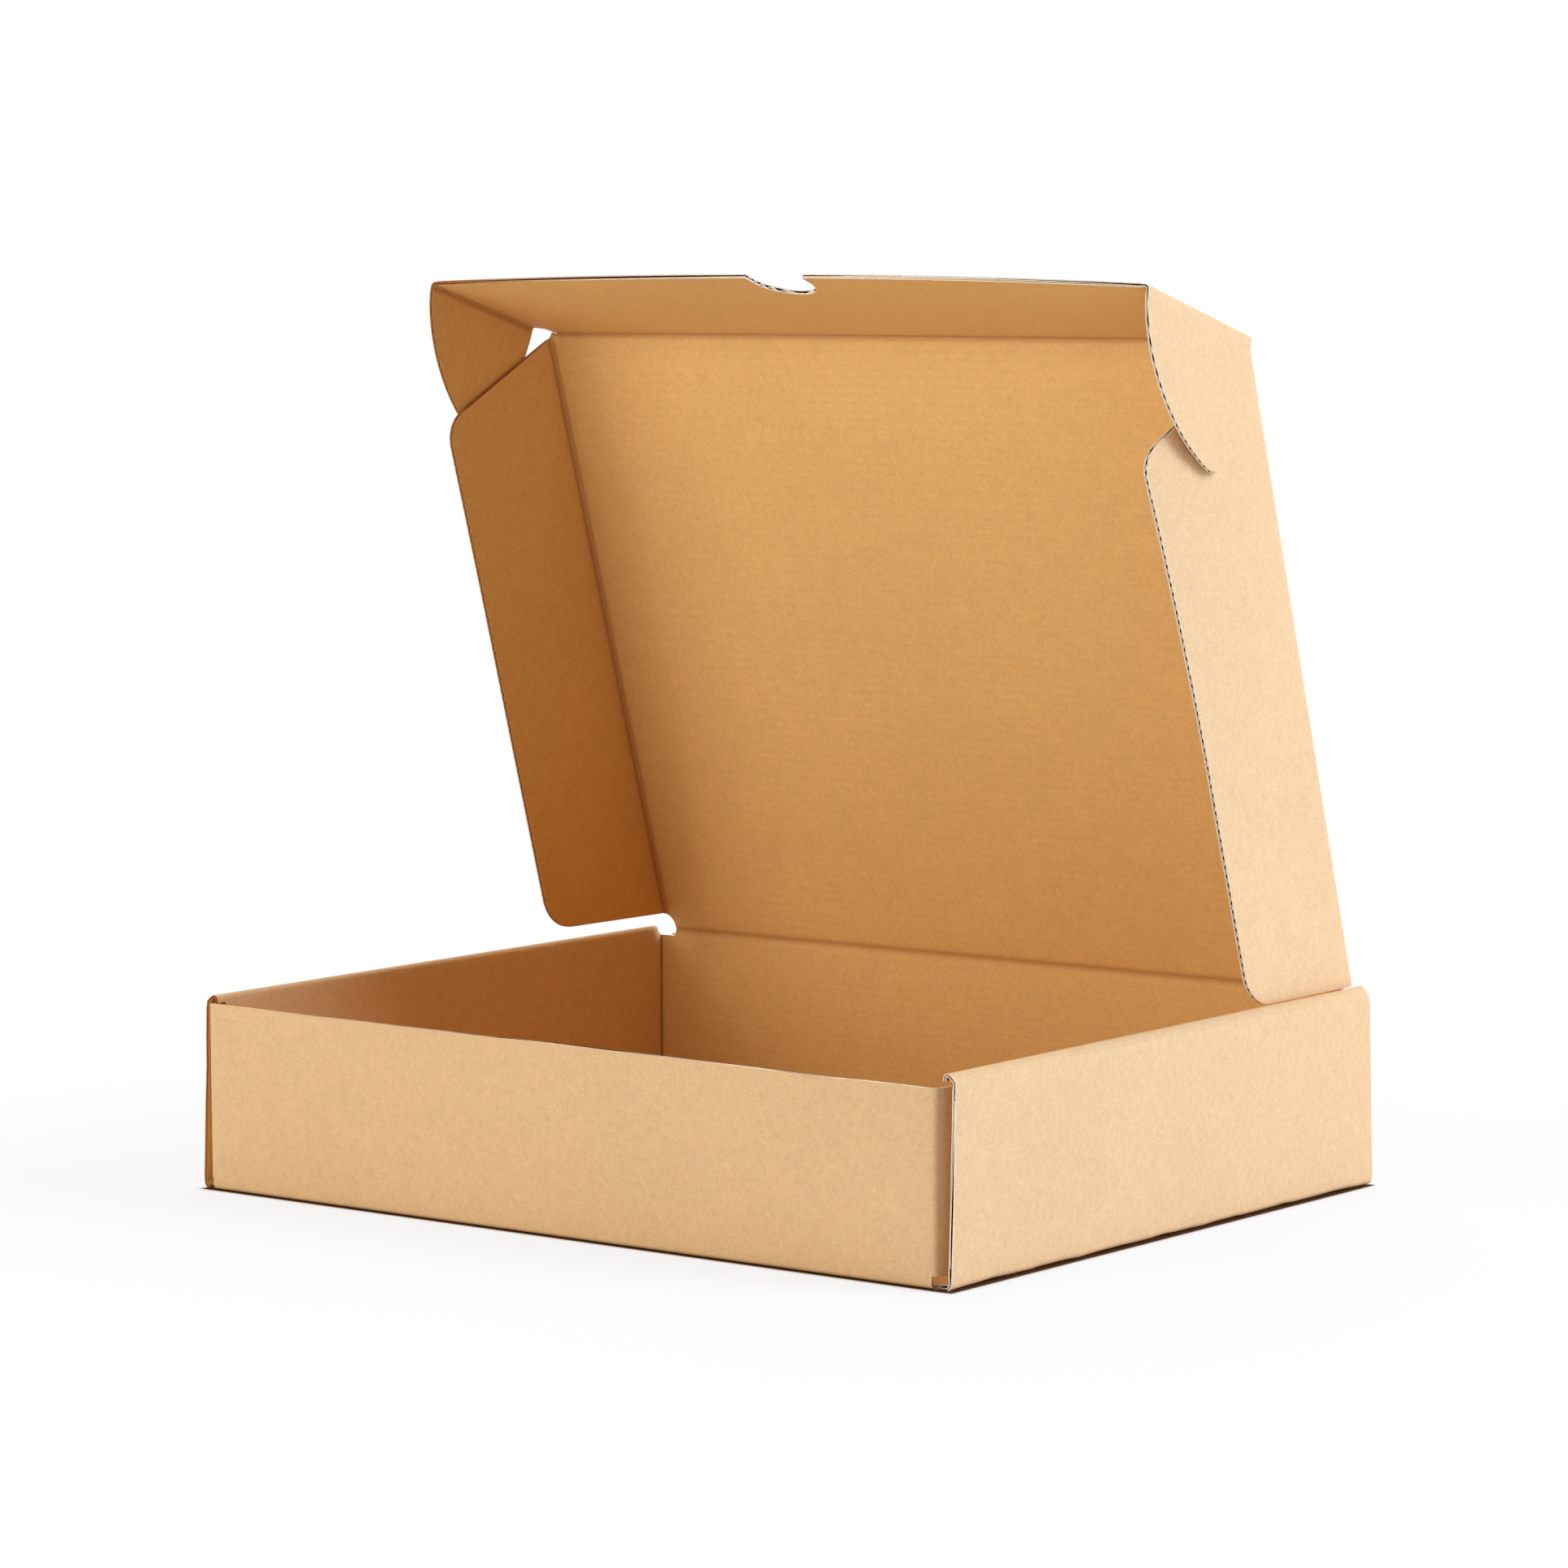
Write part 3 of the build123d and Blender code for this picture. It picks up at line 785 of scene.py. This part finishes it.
def kraft_liner(scene, name, paper, crease_shade_share, washboard, gloss):
    """Kraft linerboard: smooth machine-finished brown paper, with a soft sheen and an uneven fibre grain.

    The eye sees an even tan with a fine orange-peel grain, faint clouds, sparse dark flecks and pale
    hairs, and very faint stripes where the flutes behind it show through. Near the creases the colour is
    mixed towards a darker brown: painted shade for the hollow of each fold.
    """
    if name in bpy.data.materials:
        return bpy.data.materials[name]
    look, pitch = scene.carton_kraft, scene.carton_board.pitch
    material, tree, shader, place = new_paper(name)
    crease_shade_fac = add_node(tree, "ShaderNodeAttribute", attribute_name=CREASE).outputs["Fac"]

    # Tone: clouds of several sizes, and stripes where the flutes show through
    clouds = {}
    tone = 1.0
    for key, (size, detail, share) in KRAFT_CLOUDS.items():
        clouds[key] = add_node(
            tree, "ShaderNodeTexNoise",
            {"Vector": place, "Scale": 1 / (size * MM), "Detail": detail, "Roughness": CLOUD_ROUGHNESS},
        ).outputs["Fac"]
        offset = add_node(tree, "ShaderNodeMath", {0: clouds[key], 1: 0.5}, operation="SUBTRACT").outputs[0]
        tone = add_node(
            tree, "ShaderNodeMath", {0: offset, 1: share, 2: tone}, operation="MULTIPLY_ADD"
        ).outputs[0]
    along = add_node(tree, "ShaderNodeSeparateXYZ", {0: place}).outputs["Y"]
    phase = add_node(
        tree, "ShaderNodeMath", {0: along, 1: math.tau / pitch}, operation="MULTIPLY"
    ).outputs[0]
    wave = add_node(tree, "ShaderNodeMath", {0: phase}, operation="SINE").outputs[0]
    stripe = add_node(tree, "ShaderNodeMath", {0: wave, 1: clouds["cloud"]}, operation="MULTIPLY").outputs[0]
    tone = add_node(
        tree, "ShaderNodeMath", {0: stripe, 1: washboard, 2: tone}, operation="MULTIPLY_ADD"
    ).outputs[0]
    base = add_node(tree, "ShaderNodeVectorMath", {0: paper, "Scale": tone}, operation="SCALE").outputs[0]

    # Fibres: noise drawn out three ways, two of them pale and one dark
    strands = []
    for turn in FIBRE_TURNS:
        turned = add_node(
            tree, "ShaderNodeMapping", {"Vector": place, "Rotation": (0, 0, math.radians(turn))}
        ).outputs[0]
        drawn = add_node(
            tree, "ShaderNodeMapping", {"Vector": turned, "Scale": tuple(1 / size for size in FIBRE_SIZE)}
        ).outputs[0]
        noise = add_node(tree, "ShaderNodeTexNoise", {"Vector": drawn, "Scale": 1.0, "Detail": 0.0})
        strands.append(noise.outputs["Fac"])
    pale = add_node(tree, "ShaderNodeMath", {0: strands[0], 1: strands[1]}, operation="MAXIMUM").outputs[0]
    pale, dark = (
        add_node(
            tree, "ShaderNodeMapRange",
            {"Value": strand, "From Min": start, "From Max": full, "To Max": share},
        ).outputs[0]
        for strand, (start, full, share) in ((pale, PALE_FIBRES), (strands[2], DARK_FIBRES))
    )

    # Flecks: small dots of bark in some of the cells
    cells = add_node(tree, "ShaderNodeTexVoronoi", {"Vector": place, "Scale": 1 / FLECK_SPACING}).outputs
    chance = add_node(tree, "ShaderNodeSeparateColor", {0: cells["Color"]}).outputs[0]
    size = add_node(
        tree, "ShaderNodeMapRange", {"Value": chance, "From Min": FLECK_CHANCE, "To Max": FLECK_SIZE}
    ).outputs[0]
    edge = add_node(tree, "ShaderNodeMath", {0: size, 1: cells["Distance"]}, operation="SUBTRACT").outputs[0]
    fleck = add_node(
        tree, "ShaderNodeMapRange", {"Value": edge, "From Max": FLECK_EDGE, "To Max": FLECK_SHARE}
    ).outputs[0]
    dark = add_node(tree, "ShaderNodeMath", {0: dark, 1: fleck}, operation="MAXIMUM").outputs[0]

    # Painted shade along the creases: near each one the colour is mixed towards the crease brown.
    crease_shade_mask = add_node(tree, "ShaderNodeMath", {0: crease_shade_fac, 1: crease_shade_share}, operation="MULTIPLY").outputs[0]
    shade = base
    for share, tint in ((pale, look.pale), (dark, look.fleck), (crease_shade_mask, look.crease)):
        shade = add_node(
            tree, "ShaderNodeMix", {0: share, 6: shade, 7: (*tint, 1)}, data_type="RGBA"
        ).outputs[2]
    tree.links.new(shade, shader.inputs["Base Color"])
    relief = clouds["peel"]
    for source, height in ((stripe, STRIPE_RELIEF), (clouds["grain"], GRAIN_RELIEF)):
        relief = add_node(
            tree, "ShaderNodeMath", {0: source, 1: height, 2: relief}, operation="MULTIPLY_ADD"
        ).outputs[0]
    bump = add_node(
        tree, "ShaderNodeBump", {"Height": relief, "Strength": KRAFT_BUMP, "Distance": KRAFT_RELIEF}
    )
    tree.links.new(bump.outputs[0], shader.inputs["Normal"])
    rough = add_node(
        tree, "ShaderNodeMapRange",
        {"Value": clouds["mottle"], "From Min": MOTTLE_RANGE[0], "From Max": MOTTLE_RANGE[1],
         "To Min": ROUGH_RANGE[0], "To Max": ROUGH_RANGE[1]},
    ).outputs[0]
    tree.links.new(rough, shader.inputs["Roughness"])
    shader.inputs["Specular IOR Level"].default_value = gloss
    return material


def rough_paper(scene, name, paper):
    """Torn paper at the cut edges and paper down in the flutes: coarse and fully matt.

    Towards the left end of the sheet they turn a plain brown: painted shade, for edges and flutes that lie in
    shade on that side.
    """
    if name in bpy.data.materials:
        return bpy.data.materials[name]
    material, tree, shader, place = new_paper(name)
    grain = add_node(
        tree, "ShaderNodeTexNoise", {"Vector": place, "Scale": 1 / EDGE_GRAIN, "Detail": EDGE_DETAIL}
    ).outputs["Fac"]
    tone = add_node(
        tree, "ShaderNodeMapRange", {"Value": grain, "To Min": EDGE_TONES[0], "To Max": EDGE_TONES[1]}
    ).outputs[0]
    side = add_node(tree, "ShaderNodeSeparateXYZ", {0: place}).outputs["X"]
    # Painted shade, growing towards the left end of the sheet.
    left_shade = add_node(
        tree, "ShaderNodeMapRange", {"Value": side, "From Min": SHADE_START, "From Max": SHADE_END}
    ).outputs[0]
    brown = (*scene.carton_kraft.shaded, 1)
    shaded = add_node(
        tree, "ShaderNodeMix", {0: left_shade, 6: (*paper, 1), 7: brown}, data_type="RGBA"
    ).outputs[2]
    base = add_node(tree, "ShaderNodeVectorMath", {0: shaded, "Scale": tone}, operation="SCALE").outputs[0]
    tree.links.new(base, shader.inputs["Base Color"])
    bump = add_node(
        tree, "ShaderNodeBump", {"Height": grain, "Strength": EDGE_BUMP, "Distance": EDGE_RELIEF}
    )
    tree.links.new(bump.outputs[0], shader.inputs["Normal"])
    shader.inputs["Roughness"].default_value = EDGE_ROUGHNESS
    shader.inputs["Specular IOR Level"].default_value = 0.0
    return material


def neck(c, low, low_radius, high, high_radius):
    """Right edge of the narrow strip along a hinge crease, rounded into the panels on both sides."""
    edge = c.crease_half
    return [(edge + low_radius, low, 0), (edge, low, low_radius), (edge, high, high_radius)]


def make_tray_sides(c):
    """Bottom with two rolled side walls: outer layer, roll-over band, inner layer and lock tabs."""
    t, h = c.tray, c.half_board
    outer, top = c.half_width - h, t.side_height - h
    inner = outer - c.roll_span
    across = Section(
        [(0, -h), (outer, -h), (outer, t.roll_slope - top), (inner, -top - t.roll_crown), (inner, -c.seat)],
        [t.foot_radius, t.roll_radius, t.roll_radius],
    )
    along = Section([(0, 0), (1, 0)], [], left=False)
    side_end = c.half_depth - t.side_setback
    top_end = side_end - t.side_lean
    layer_end = c.half_depth - c.board.board - t.layer_gap
    bottom_end = c.half_depth - t.seam
    hole_v = c.half_depth - c.board.board
    shoulder = across.before(1, t.roll_radius)
    band = across.past(2, ROLL_END * t.roll_radius)
    foot = across.past(2, top + t.roll_crown - c.seat)
    tab_foot = foot + c.board.board

    def front(end, foot_end, radius):
        """Outline round a front corner, from the bottom's edge to the foot of the inner layer."""
        hole = [
            (foot_end + radius * (1 - math.cos(a)), radius * math.sin(a) - hole_v, 0)
            for a in np.linspace(0, math.pi, HOLE_STEPS + 1)[1:]
        ]
        return [(foot_end, -bottom_end, 0), (foot_end, -hole_v, 0)] + hole + [
            (foot_end + 2 * radius, -side_end, 0), (shoulder, -top_end, 0), (band, -top_end, 0),
            (band, -end, 0), (foot, -end, 0),
        ]

    tab_middles = (-t.tab_pitch / 2, t.tab_pitch / 2)
    tabs = []
    for middle in tab_middles:
        start, end = middle - t.tab_length / 2, middle + t.tab_length / 2
        tabs += [(foot, start, 0), (tab_foot, start, 0), (tab_foot, end, 0), (foot, end, 0)]
    rear = [(u, -v, r) for u, v, r in reversed(front(layer_end, c.foot_end, t.corner_hole))]
    right = front(layer_end - t.right_depth, c.foot_end, t.corner_hole) + tabs + rear
    left = front(layer_end - t.left_depth, c.left_end, t.left_hole) + tabs + rear
    slots = []
    for side in (-1, 1):
        near, far = c.inner_face - t.tab_gap, c.inner_face + c.board.board + t.tab_gap
        for middle in tab_middles:
            reach = t.tab_length / 2 + t.tab_gap
            slots.append((*sorted((side * near, side * far)), middle - reach, middle + reach))

    def warp(u, v, w):
        """Uneven cut ends, and outer walls that stand out a little."""
        reach = np.abs(u)
        end = np.clip((np.abs(v) - c.half_depth + t.ragged_zone) / t.ragged_zone, 0, 1)
        rise = np.clip((reach - outer) / t.ragged_rise, 0, 1)
        uneven = waver(reach + SIDE_SPREAD * u, t.ragged_wave, END_SEED) - 1
        v = v + np.sign(v) * t.ragged * uneven * end * rise
        up = np.clip((reach - outer) / top, 0, 1)
        bulge = t.side_bulge * np.sin(math.pi * up) * np.clip(1 - (v / c.half_depth) ** 2, 0, 1)
        return u, v, w + bulge

    def raised(u, v):
        """Bands of uneven height, and a right side that stands off the floor between its corners."""
        domed = np.exp(-((np.abs(u) - across.before(2, 0)) / t.band_reach) ** 2)
        rise = t.band_rise * (1 - t.band_tilt + t.band_tilt * v / c.half_depth)
        band_lift = domed * np.where(u > 0, rise, -t.band_sink)
        near_foot = np.exp(-((u - outer) / t.foot_reach) ** 2)
        between = np.clip((c.half_depth - np.abs(v)) / t.foot_reach, 0, 1)
        uneven = 1 - t.foot_waver + t.foot_waver * waver(v, t.foot_wave, FOOT_SEED)
        return band_lift + t.foot_lift * uneven * near_foot * between

    corners = both_halves(right, left)
    return corrugated("tray_bottom_and_sides", c, corners, (across, across), along, warp, slots, raised)


def square_fold(half_width, reach, radius):
    """Section of a panel from its middle, with a flap folded square at its side."""
    return Section([(0, 0), (half_width, 0), (half_width, -reach)], [radius])


def slanted_corner(c, cut, depth):
    """Plan of an end wall that turns before its corner, and slants back between the side wall's layers."""
    t = c.tray
    turns = [(c.flap_middle - cut, 0), (c.flap_middle, -depth)]
    return Section([(0, 0), *turns, (c.flap_middle, -t.flap_length)], [t.corner_radius, t.flap_radius])


def end_wall_foot(c, sign, height):
    """Section of an end wall at -Y or +Y, from the bottom up."""
    h, face = c.half_board, sign * (c.half_depth - c.half_board)
    return Section([(face / 2, h), (face, h), (face, height)], [c.board.crease_radius], left=sign < 0)


def end_wall_half(c, across, along, height, foot_end, depth=0):
    """Half of an end wall's outline, from the bottom up, with its last turn this far behind the wall."""
    t, h = c.tray, c.half_board
    low = c.board.board + t.flap_rise
    foot, low_slope, high_slope, top = (
        along.past(0, z - h) for z in (low, low + t.flap_chamfer, height - t.flap_chamfer, height)
    )
    flap_end = across.past(-1, t.flap_length - depth - h)
    slope = flap_end - t.flap_chamfer
    start = along.before(0, t.seam - h)
    return [
        (foot_end, start, 0), (foot_end, foot, 0), (slope, foot, 0), (flap_end, low_slope, 0),
        (flap_end, high_slope, 0), (slope, top, 0),
    ]


def make_front_wall(c):
    """Front wall, which rounds into its two corner flaps between the layers of the side walls."""
    t = c.tray
    height = t.front_height
    right = slanted_corner(c, t.right_cut, t.right_depth)
    left = slanted_corner(c, t.left_cut, t.left_depth)
    along = end_wall_foot(c, -1, height)
    top = along.past(0, height - c.half_board)

    def warp(u, v, w):
        """Top edge that is not cut quite straight or level."""
        near_top = np.clip((v - top + t.top_zone) / t.top_zone, 0, 1)
        level = -t.front_skew * np.clip(u / c.foot_end, -1, 1)
        return u, v + (level + t.ragged * waver(u, t.top_wave, TOP_SEED)) * near_top, w

    corners = both_halves(
        end_wall_half(c, right, along, height, c.foot_end, t.right_depth),
        end_wall_half(c, left, along, height, c.left_end, t.left_depth),
    )
    return corrugated("front_wall", c, corners, (right, left), along, warp)


def make_back_wall(c):
    """Back wall and its corner flaps, up to the notches beside the lid's crease."""
    height = c.hinge[1] - c.lid.crease_notch
    across = square_fold(c.flap_middle, c.tray.flap_length, c.tray.corner_radius)
    along = end_wall_foot(c, 1, height)
    corners = both_halves(end_wall_half(c, across, along, height, c.foot_end))
    return corrugated("back_wall", c, corners, (across, across), along)


def make_lid(c):
    """Lid panel with its two wings, and the crease that it turns on."""
    lid, h = c.lid, c.half_board
    across = square_fold(c.wing_middle, lid.wing_height, c.board.crease_radius)
    below = c.hinge - [0, STUB]
    beyond = c.fold + c.tuck_way * STUB
    along = Section([below, c.hinge, c.fold, beyond], [c.board.crease_radius] * 2, left=False)

    def v_at(distance):
        """Place along the sheet that lies this far from the hinge."""
        return along.past(0, distance)

    rear_lean = math.tan(lid.wing_rear_slope) * lid.wing_height
    front = c.lid_length - lid.front_notch
    root, free = across.past(0, h), across.past(0, lid.wing_height)

    def half(wing_front, slope):
        """Half of the outline, with the front edge of its wing starting there at this slope."""
        lean = math.tan(slope) * lid.wing_height
        neck_low, neck_high = along.before(0, lid.crease_notch), v_at(lid.lid_notch)
        return neck(c, neck_low, lid.notch_radius, neck_high, lid.notch_radius) + [
            (root, neck_high, 0),
            (free, v_at(lid.lid_notch + rear_lean), lid.wing_rear_radius),
            (free, v_at(wing_front - lean), lid.wing_front_radius),
            (root, v_at(wing_front), 0),
        ]

    right = half(front, lid.wing_front_slope)
    left = half(c.lid_length - lid.left_notch, lid.left_slope) + [(root - c.board.board, v_at(front), 0)]

    def warp(u, v, w):
        """Wings that spring out at the rear and sit unevenly, the right one pushed in at its front."""
        out = np.clip((np.abs(u) - c.wing_middle) / lid.wing_height, 0, 1)
        rear = np.clip(1 - v / (lid.twist_reach * c.lid_length), 0, 1)
        ahead = np.clip((v / c.lid_length - lid.push_start) / (1 - lid.push_start), 0, 1)
        pushed = np.where(u > 0, lid.wing_push, 0) * (out * ahead) ** 2
        sunk = lid.wing_shear * np.sign(u) * np.clip((np.abs(u) - c.crease_half) / lid.crease_end, 0, 1)
        return u, v - sunk, w + lid.wing_twist * out * rear - pushed

    return corrugated("lid_with_wings", c, both_halves(right, left), (across, across), along, warp)


def make_tuck_flap(c):
    """Tuck flap with its two curved ears, thumb notch and crease."""
    lid, h = c.lid, c.half_board
    across = square_fold(c.ear_middle, lid.ear_depth, c.board.crease_radius)
    along = Section(
        [c.fold - c.lid_way * STUB, c.fold, c.fold + c.tuck_way * lid.tuck_height],
        [c.board.crease_radius], left=False,
    )
    edge = along.past(0, lid.tuck_height)
    power = 2 / lid.ear_fullness
    thumb = lid.thumb_width / 2

    def half(relief, foot):
        """Half of the outline, with this much between the front crease and the ear's two ends."""
        drop = lid.tuck_height - foot
        neck_low, neck_high = along.before(0, lid.front_notch), along.past(0, relief)
        corners = neck(c, neck_low, lid.front_notch_radius, neck_high, min(lid.notch_radius, relief))
        corners += [
            (across.past(0, h), neck_high, 0),
            (across.past(0, lid.ear_depth - h), along.past(0, foot), lid.ear_radius),
        ]
        for a in np.radians(np.linspace(*EAR_ANGLES, EAR_STEPS)):
            reach = across.past(0, max(lid.ear_depth * math.cos(a) ** power - h, 0))
            corners.append((reach, along.past(0, foot + drop * math.sin(a) ** power), 0))
        return corners + [(thumb, edge, 0), (thumb, edge - lid.thumb_depth, thumb * ALMOST_ROUND)]

    def warp(u, v, w):
        """Free edge that bows outwards in its middle."""
        down = np.clip(v / edge, 0, 1) ** 2
        return u, v, w + lid.tuck_bow * down * np.clip(1 - (u / c.ear_middle) ** 2, 0, 1)

    corners = both_halves(half(lid.right_relief, lid.right_foot), half(lid.left_relief, lid.left_foot))
    return corrugated("tuck_flap_with_ears", c, corners, (across, across), along, warp)


def seen_directly(tree):
    """1 for what the camera sees, straight or in a mirror or glass, and 0 for light that falls on things."""
    ray = add_node(tree, "ShaderNodeLightPath").outputs
    seen = ray["Is Camera Ray"]
    for kind in ("Is Glossy Ray", "Is Transmission Ray"):
        seen = add_node(tree, "ShaderNodeMath", {0: seen, 1: ray[kind]}, operation="MAXIMUM").outputs[0]
    return seen


def make_floor(look):
    """Pale floor that reads as white, and still takes the carton's shadow close by; right under the tray it
    is painted dark, as painted shadow.
    """
    bm = bmesh.new()
    bmesh.ops.create_grid(bm, x_segments=1, y_segments=1, size=FLOOR_HALF)
    mesh = bpy.data.meshes.new("floor")
    bm.to_mesh(mesh)
    bm.free()
    floor = bpy.data.objects.new("floor", mesh)
    bpy.context.scene.collection.objects.link(floor)
    material = bpy.data.materials.new("white_paper_sweep")
    material.use_nodes = True
    tree = material.node_tree
    tree.nodes.clear()
    white = add_node(tree, "ShaderNodeEmission", {"Color": (*WHITE, 1), "Strength": 1.0})
    place = add_node(tree, "ShaderNodeTexCoord").outputs["Object"]
    mirrored = add_node(tree, "ShaderNodeVectorMath", {0: place}, operation="ABSOLUTE").outputs[0]
    past = add_node(
        tree, "ShaderNodeVectorMath", {0: mirrored, 1: TRAY_HIGH}, operation="SUBTRACT"
    ).outputs[0]
    past = add_node(tree, "ShaderNodeVectorMath", {0: past, 1: (0, 0, 0)}, operation="MAXIMUM").outputs[0]
    away = add_node(tree, "ShaderNodeVectorMath", {0: past}, operation="LENGTH").outputs["Value"]
    # Painted shadow: right under the tray the floor is dark, fading to the pale floor just past the tray's
    # edge.
    past_painted_shadow = add_node(tree, "ShaderNodeMapRange", {"Value": away, "From Max": look.painted_shadow_edge}).outputs[0]
    ground = add_node(
        tree, "ShaderNodeMix", {0: past_painted_shadow, 6: (*look.under, 1), 7: (*look.floor, 1)}, data_type="RGBA"
    ).outputs[2]
    paper = add_node(tree, "ShaderNodeBsdfDiffuse", {"Color": ground})
    clear = 0.0
    for reach, share in ((look.contact_reach, look.shadow_clear), (look.shadow_reach, 1 - look.shadow_clear)):
        ramp = add_node(
            tree, "ShaderNodeMapRange", {"Value": away, "From Max": reach, "To Max": share},
            interpolation_type="SMOOTHSTEP",
        ).outputs["Result"]
        clear = add_node(tree, "ShaderNodeMath", {0: ramp, 1: clear}, operation="ADD").outputs[0]
    seen = add_node(
        tree, "ShaderNodeMath", {0: seen_directly(tree), 1: clear}, operation="MULTIPLY"
    ).outputs[0]
    mixed = add_node(tree, "ShaderNodeMixShader", {0: seen, 1: paper.outputs[0], 2: white.outputs[0]})
    add_node(tree, "ShaderNodeOutputMaterial", {"Surface": mixed.outputs[0]})
    mesh.materials.append(material)


def make_world(look):
    """White surroundings to the eye, with an even, lower light on the carton."""
    world = bpy.data.worlds.new("studio")
    bpy.context.scene.world = world
    world.use_nodes = True
    tree = world.node_tree
    tree.nodes.clear()
    strength = add_node(
        tree, "ShaderNodeMapRange", {"Value": seen_directly(tree), "To Min": look.ambient, "To Max": 1.0}
    )
    light = add_node(tree, "ShaderNodeBackground", {"Color": (*WHITE, 1), "Strength": strength.outputs[0]})
    add_node(tree, "ShaderNodeOutputWorld", {"Surface": light.outputs[0]})


def make_lamp(name, place, target, size, power, tint):
    """Soft square lamp aimed at a point."""
    data = bpy.data.lights.new(name, "AREA")
    data.shape = "SQUARE"
    data.size = size
    data.energy = power
    data.color = tint
    lamp = bpy.data.objects.new(name, data)
    lamp.location = place
    lamp.rotation_euler = (Vector(target) - Vector(place)).to_track_quat("-Z", "Y").to_euler()
    bpy.context.scene.collection.objects.link(lamp)


def make_camera(look):
    """Camera at the place and turn that the photograph was taken from."""
    data = bpy.data.cameras.new("camera")
    data.sensor_fit = "HORIZONTAL"
    data.sensor_width = SENSOR_WIDTH
    data.lens = look.lens
    camera = bpy.data.objects.new("camera", data)
    camera.location = look.camera_place
    camera.rotation_euler = look.camera_turn
    bpy.context.scene.collection.objects.link(camera)
    bpy.context.scene.camera = camera


class CARTON_OT_board(bpy.types.Operator):
    """Build the node trees that turn a flat sheet into liners and flutes"""
    bl_idname = "carton.board"
    bl_label = "Board"

    def execute(self, context):
        liners_tree()
        flutes_tree()
        return {"FINISHED"}


class CARTON_OT_tray(bpy.types.Operator):
    """Fold the tray: bottom with rolled sides, front wall and back wall"""
    bl_idname = "carton.tray"
    bl_label = "Tray"

    def execute(self, context):
        c = carton_sizes(context.scene)
        for make in (make_tray_sides, make_front_wall, make_back_wall):
            piece = make(c)
            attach(piece, "base")
            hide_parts("base_tray")
        return {"FINISHED"}


class CARTON_OT_lid(bpy.types.Operator):
    """Fold the lid with its wings, bending at the back wall's crease"""
    bl_idname = "carton.lid"
    bl_label = "Lid"

    def execute(self, context):
        c = carton_sizes(context.scene)
        piece = make_lid(c)
        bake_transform(piece)
        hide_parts("lid")
        return {"FINISHED"}


class CARTON_OT_tuck(bpy.types.Operator):
    """Fold the tuck flap with its ears, bending at the lid's front crease"""
    bl_idname = "carton.tuck"
    bl_label = "Tuck flap"

    def execute(self, context):
        c = carton_sizes(context.scene)
        piece = make_tuck_flap(c)
        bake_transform(piece)
        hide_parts("tuck_flap")
        return {"FINISHED"}


class CARTON_OT_stage(bpy.types.Operator):
    """Set the floor, the light and the camera"""
    bl_idname = "carton.stage"
    bl_label = "Stage"

    def execute(self, context):
        look = context.scene.carton_stage
        make_floor(look)
        make_world(look)
        for name, (place, target, size) in LAMPS.items():
            tint = look.key_tint if name == "key" else WHITE
            make_lamp(name, place, target, size, getattr(look, f"{name}_power"), tint)
        make_camera(look)
        context.scene.view_settings.view_transform = "Standard"
        return {"FINISHED"}


class CARTON_PT_panel(bpy.types.Panel):
    """Sizes, colours and steps of the carton"""
    bl_idname = "CARTON_PT_panel"
    bl_label = "Carton"
    bl_space_type = "VIEW_3D"
    bl_region_type = "UI"
    bl_category = "Carton"

    def draw(self, context):
        for name in GROUPS:
            group = getattr(context.scene, name)
            box = self.layout.box()
            for key in group.__annotations__:
                box.prop(group, key)
        for step in STEPS:
            self.layout.operator(step.bl_idname)


GROUPS = {
    "carton_board": BoardSizes,
    "carton_tray": TraySizes,
    "carton_lid": LidSizes,
    "carton_kraft": KraftLook,
    "carton_stage": StageLook,
}
STEPS = (CARTON_OT_board, CARTON_OT_tray, CARTON_OT_lid, CARTON_OT_tuck, CARTON_OT_stage)


def register():
    """Register the properties, operators and panel."""
    for group in (*GROUPS.values(), *STEPS, CARTON_PT_panel):
        bpy.utils.register_class(group)
    for name, group in GROUPS.items():
        setattr(bpy.types.Scene, name, bpy.props.PointerProperty(type=group))


def unregister():
    """Take the properties, operators and panel away again."""
    for name in GROUPS:
        delattr(bpy.types.Scene, name)
    for group in (CARTON_PT_panel, *reversed(STEPS), *reversed(GROUPS.values())):
        bpy.utils.unregister_class(group)


def main():
    """Build the carton and its stage."""
    register()
    bpy.ops.carton.board()
    bpy.ops.carton.tray()
    bpy.ops.carton.lid()
    bpy.ops.carton.tuck()
    bpy.ops.carton.stage()


if __name__ == "__main__":
    main()
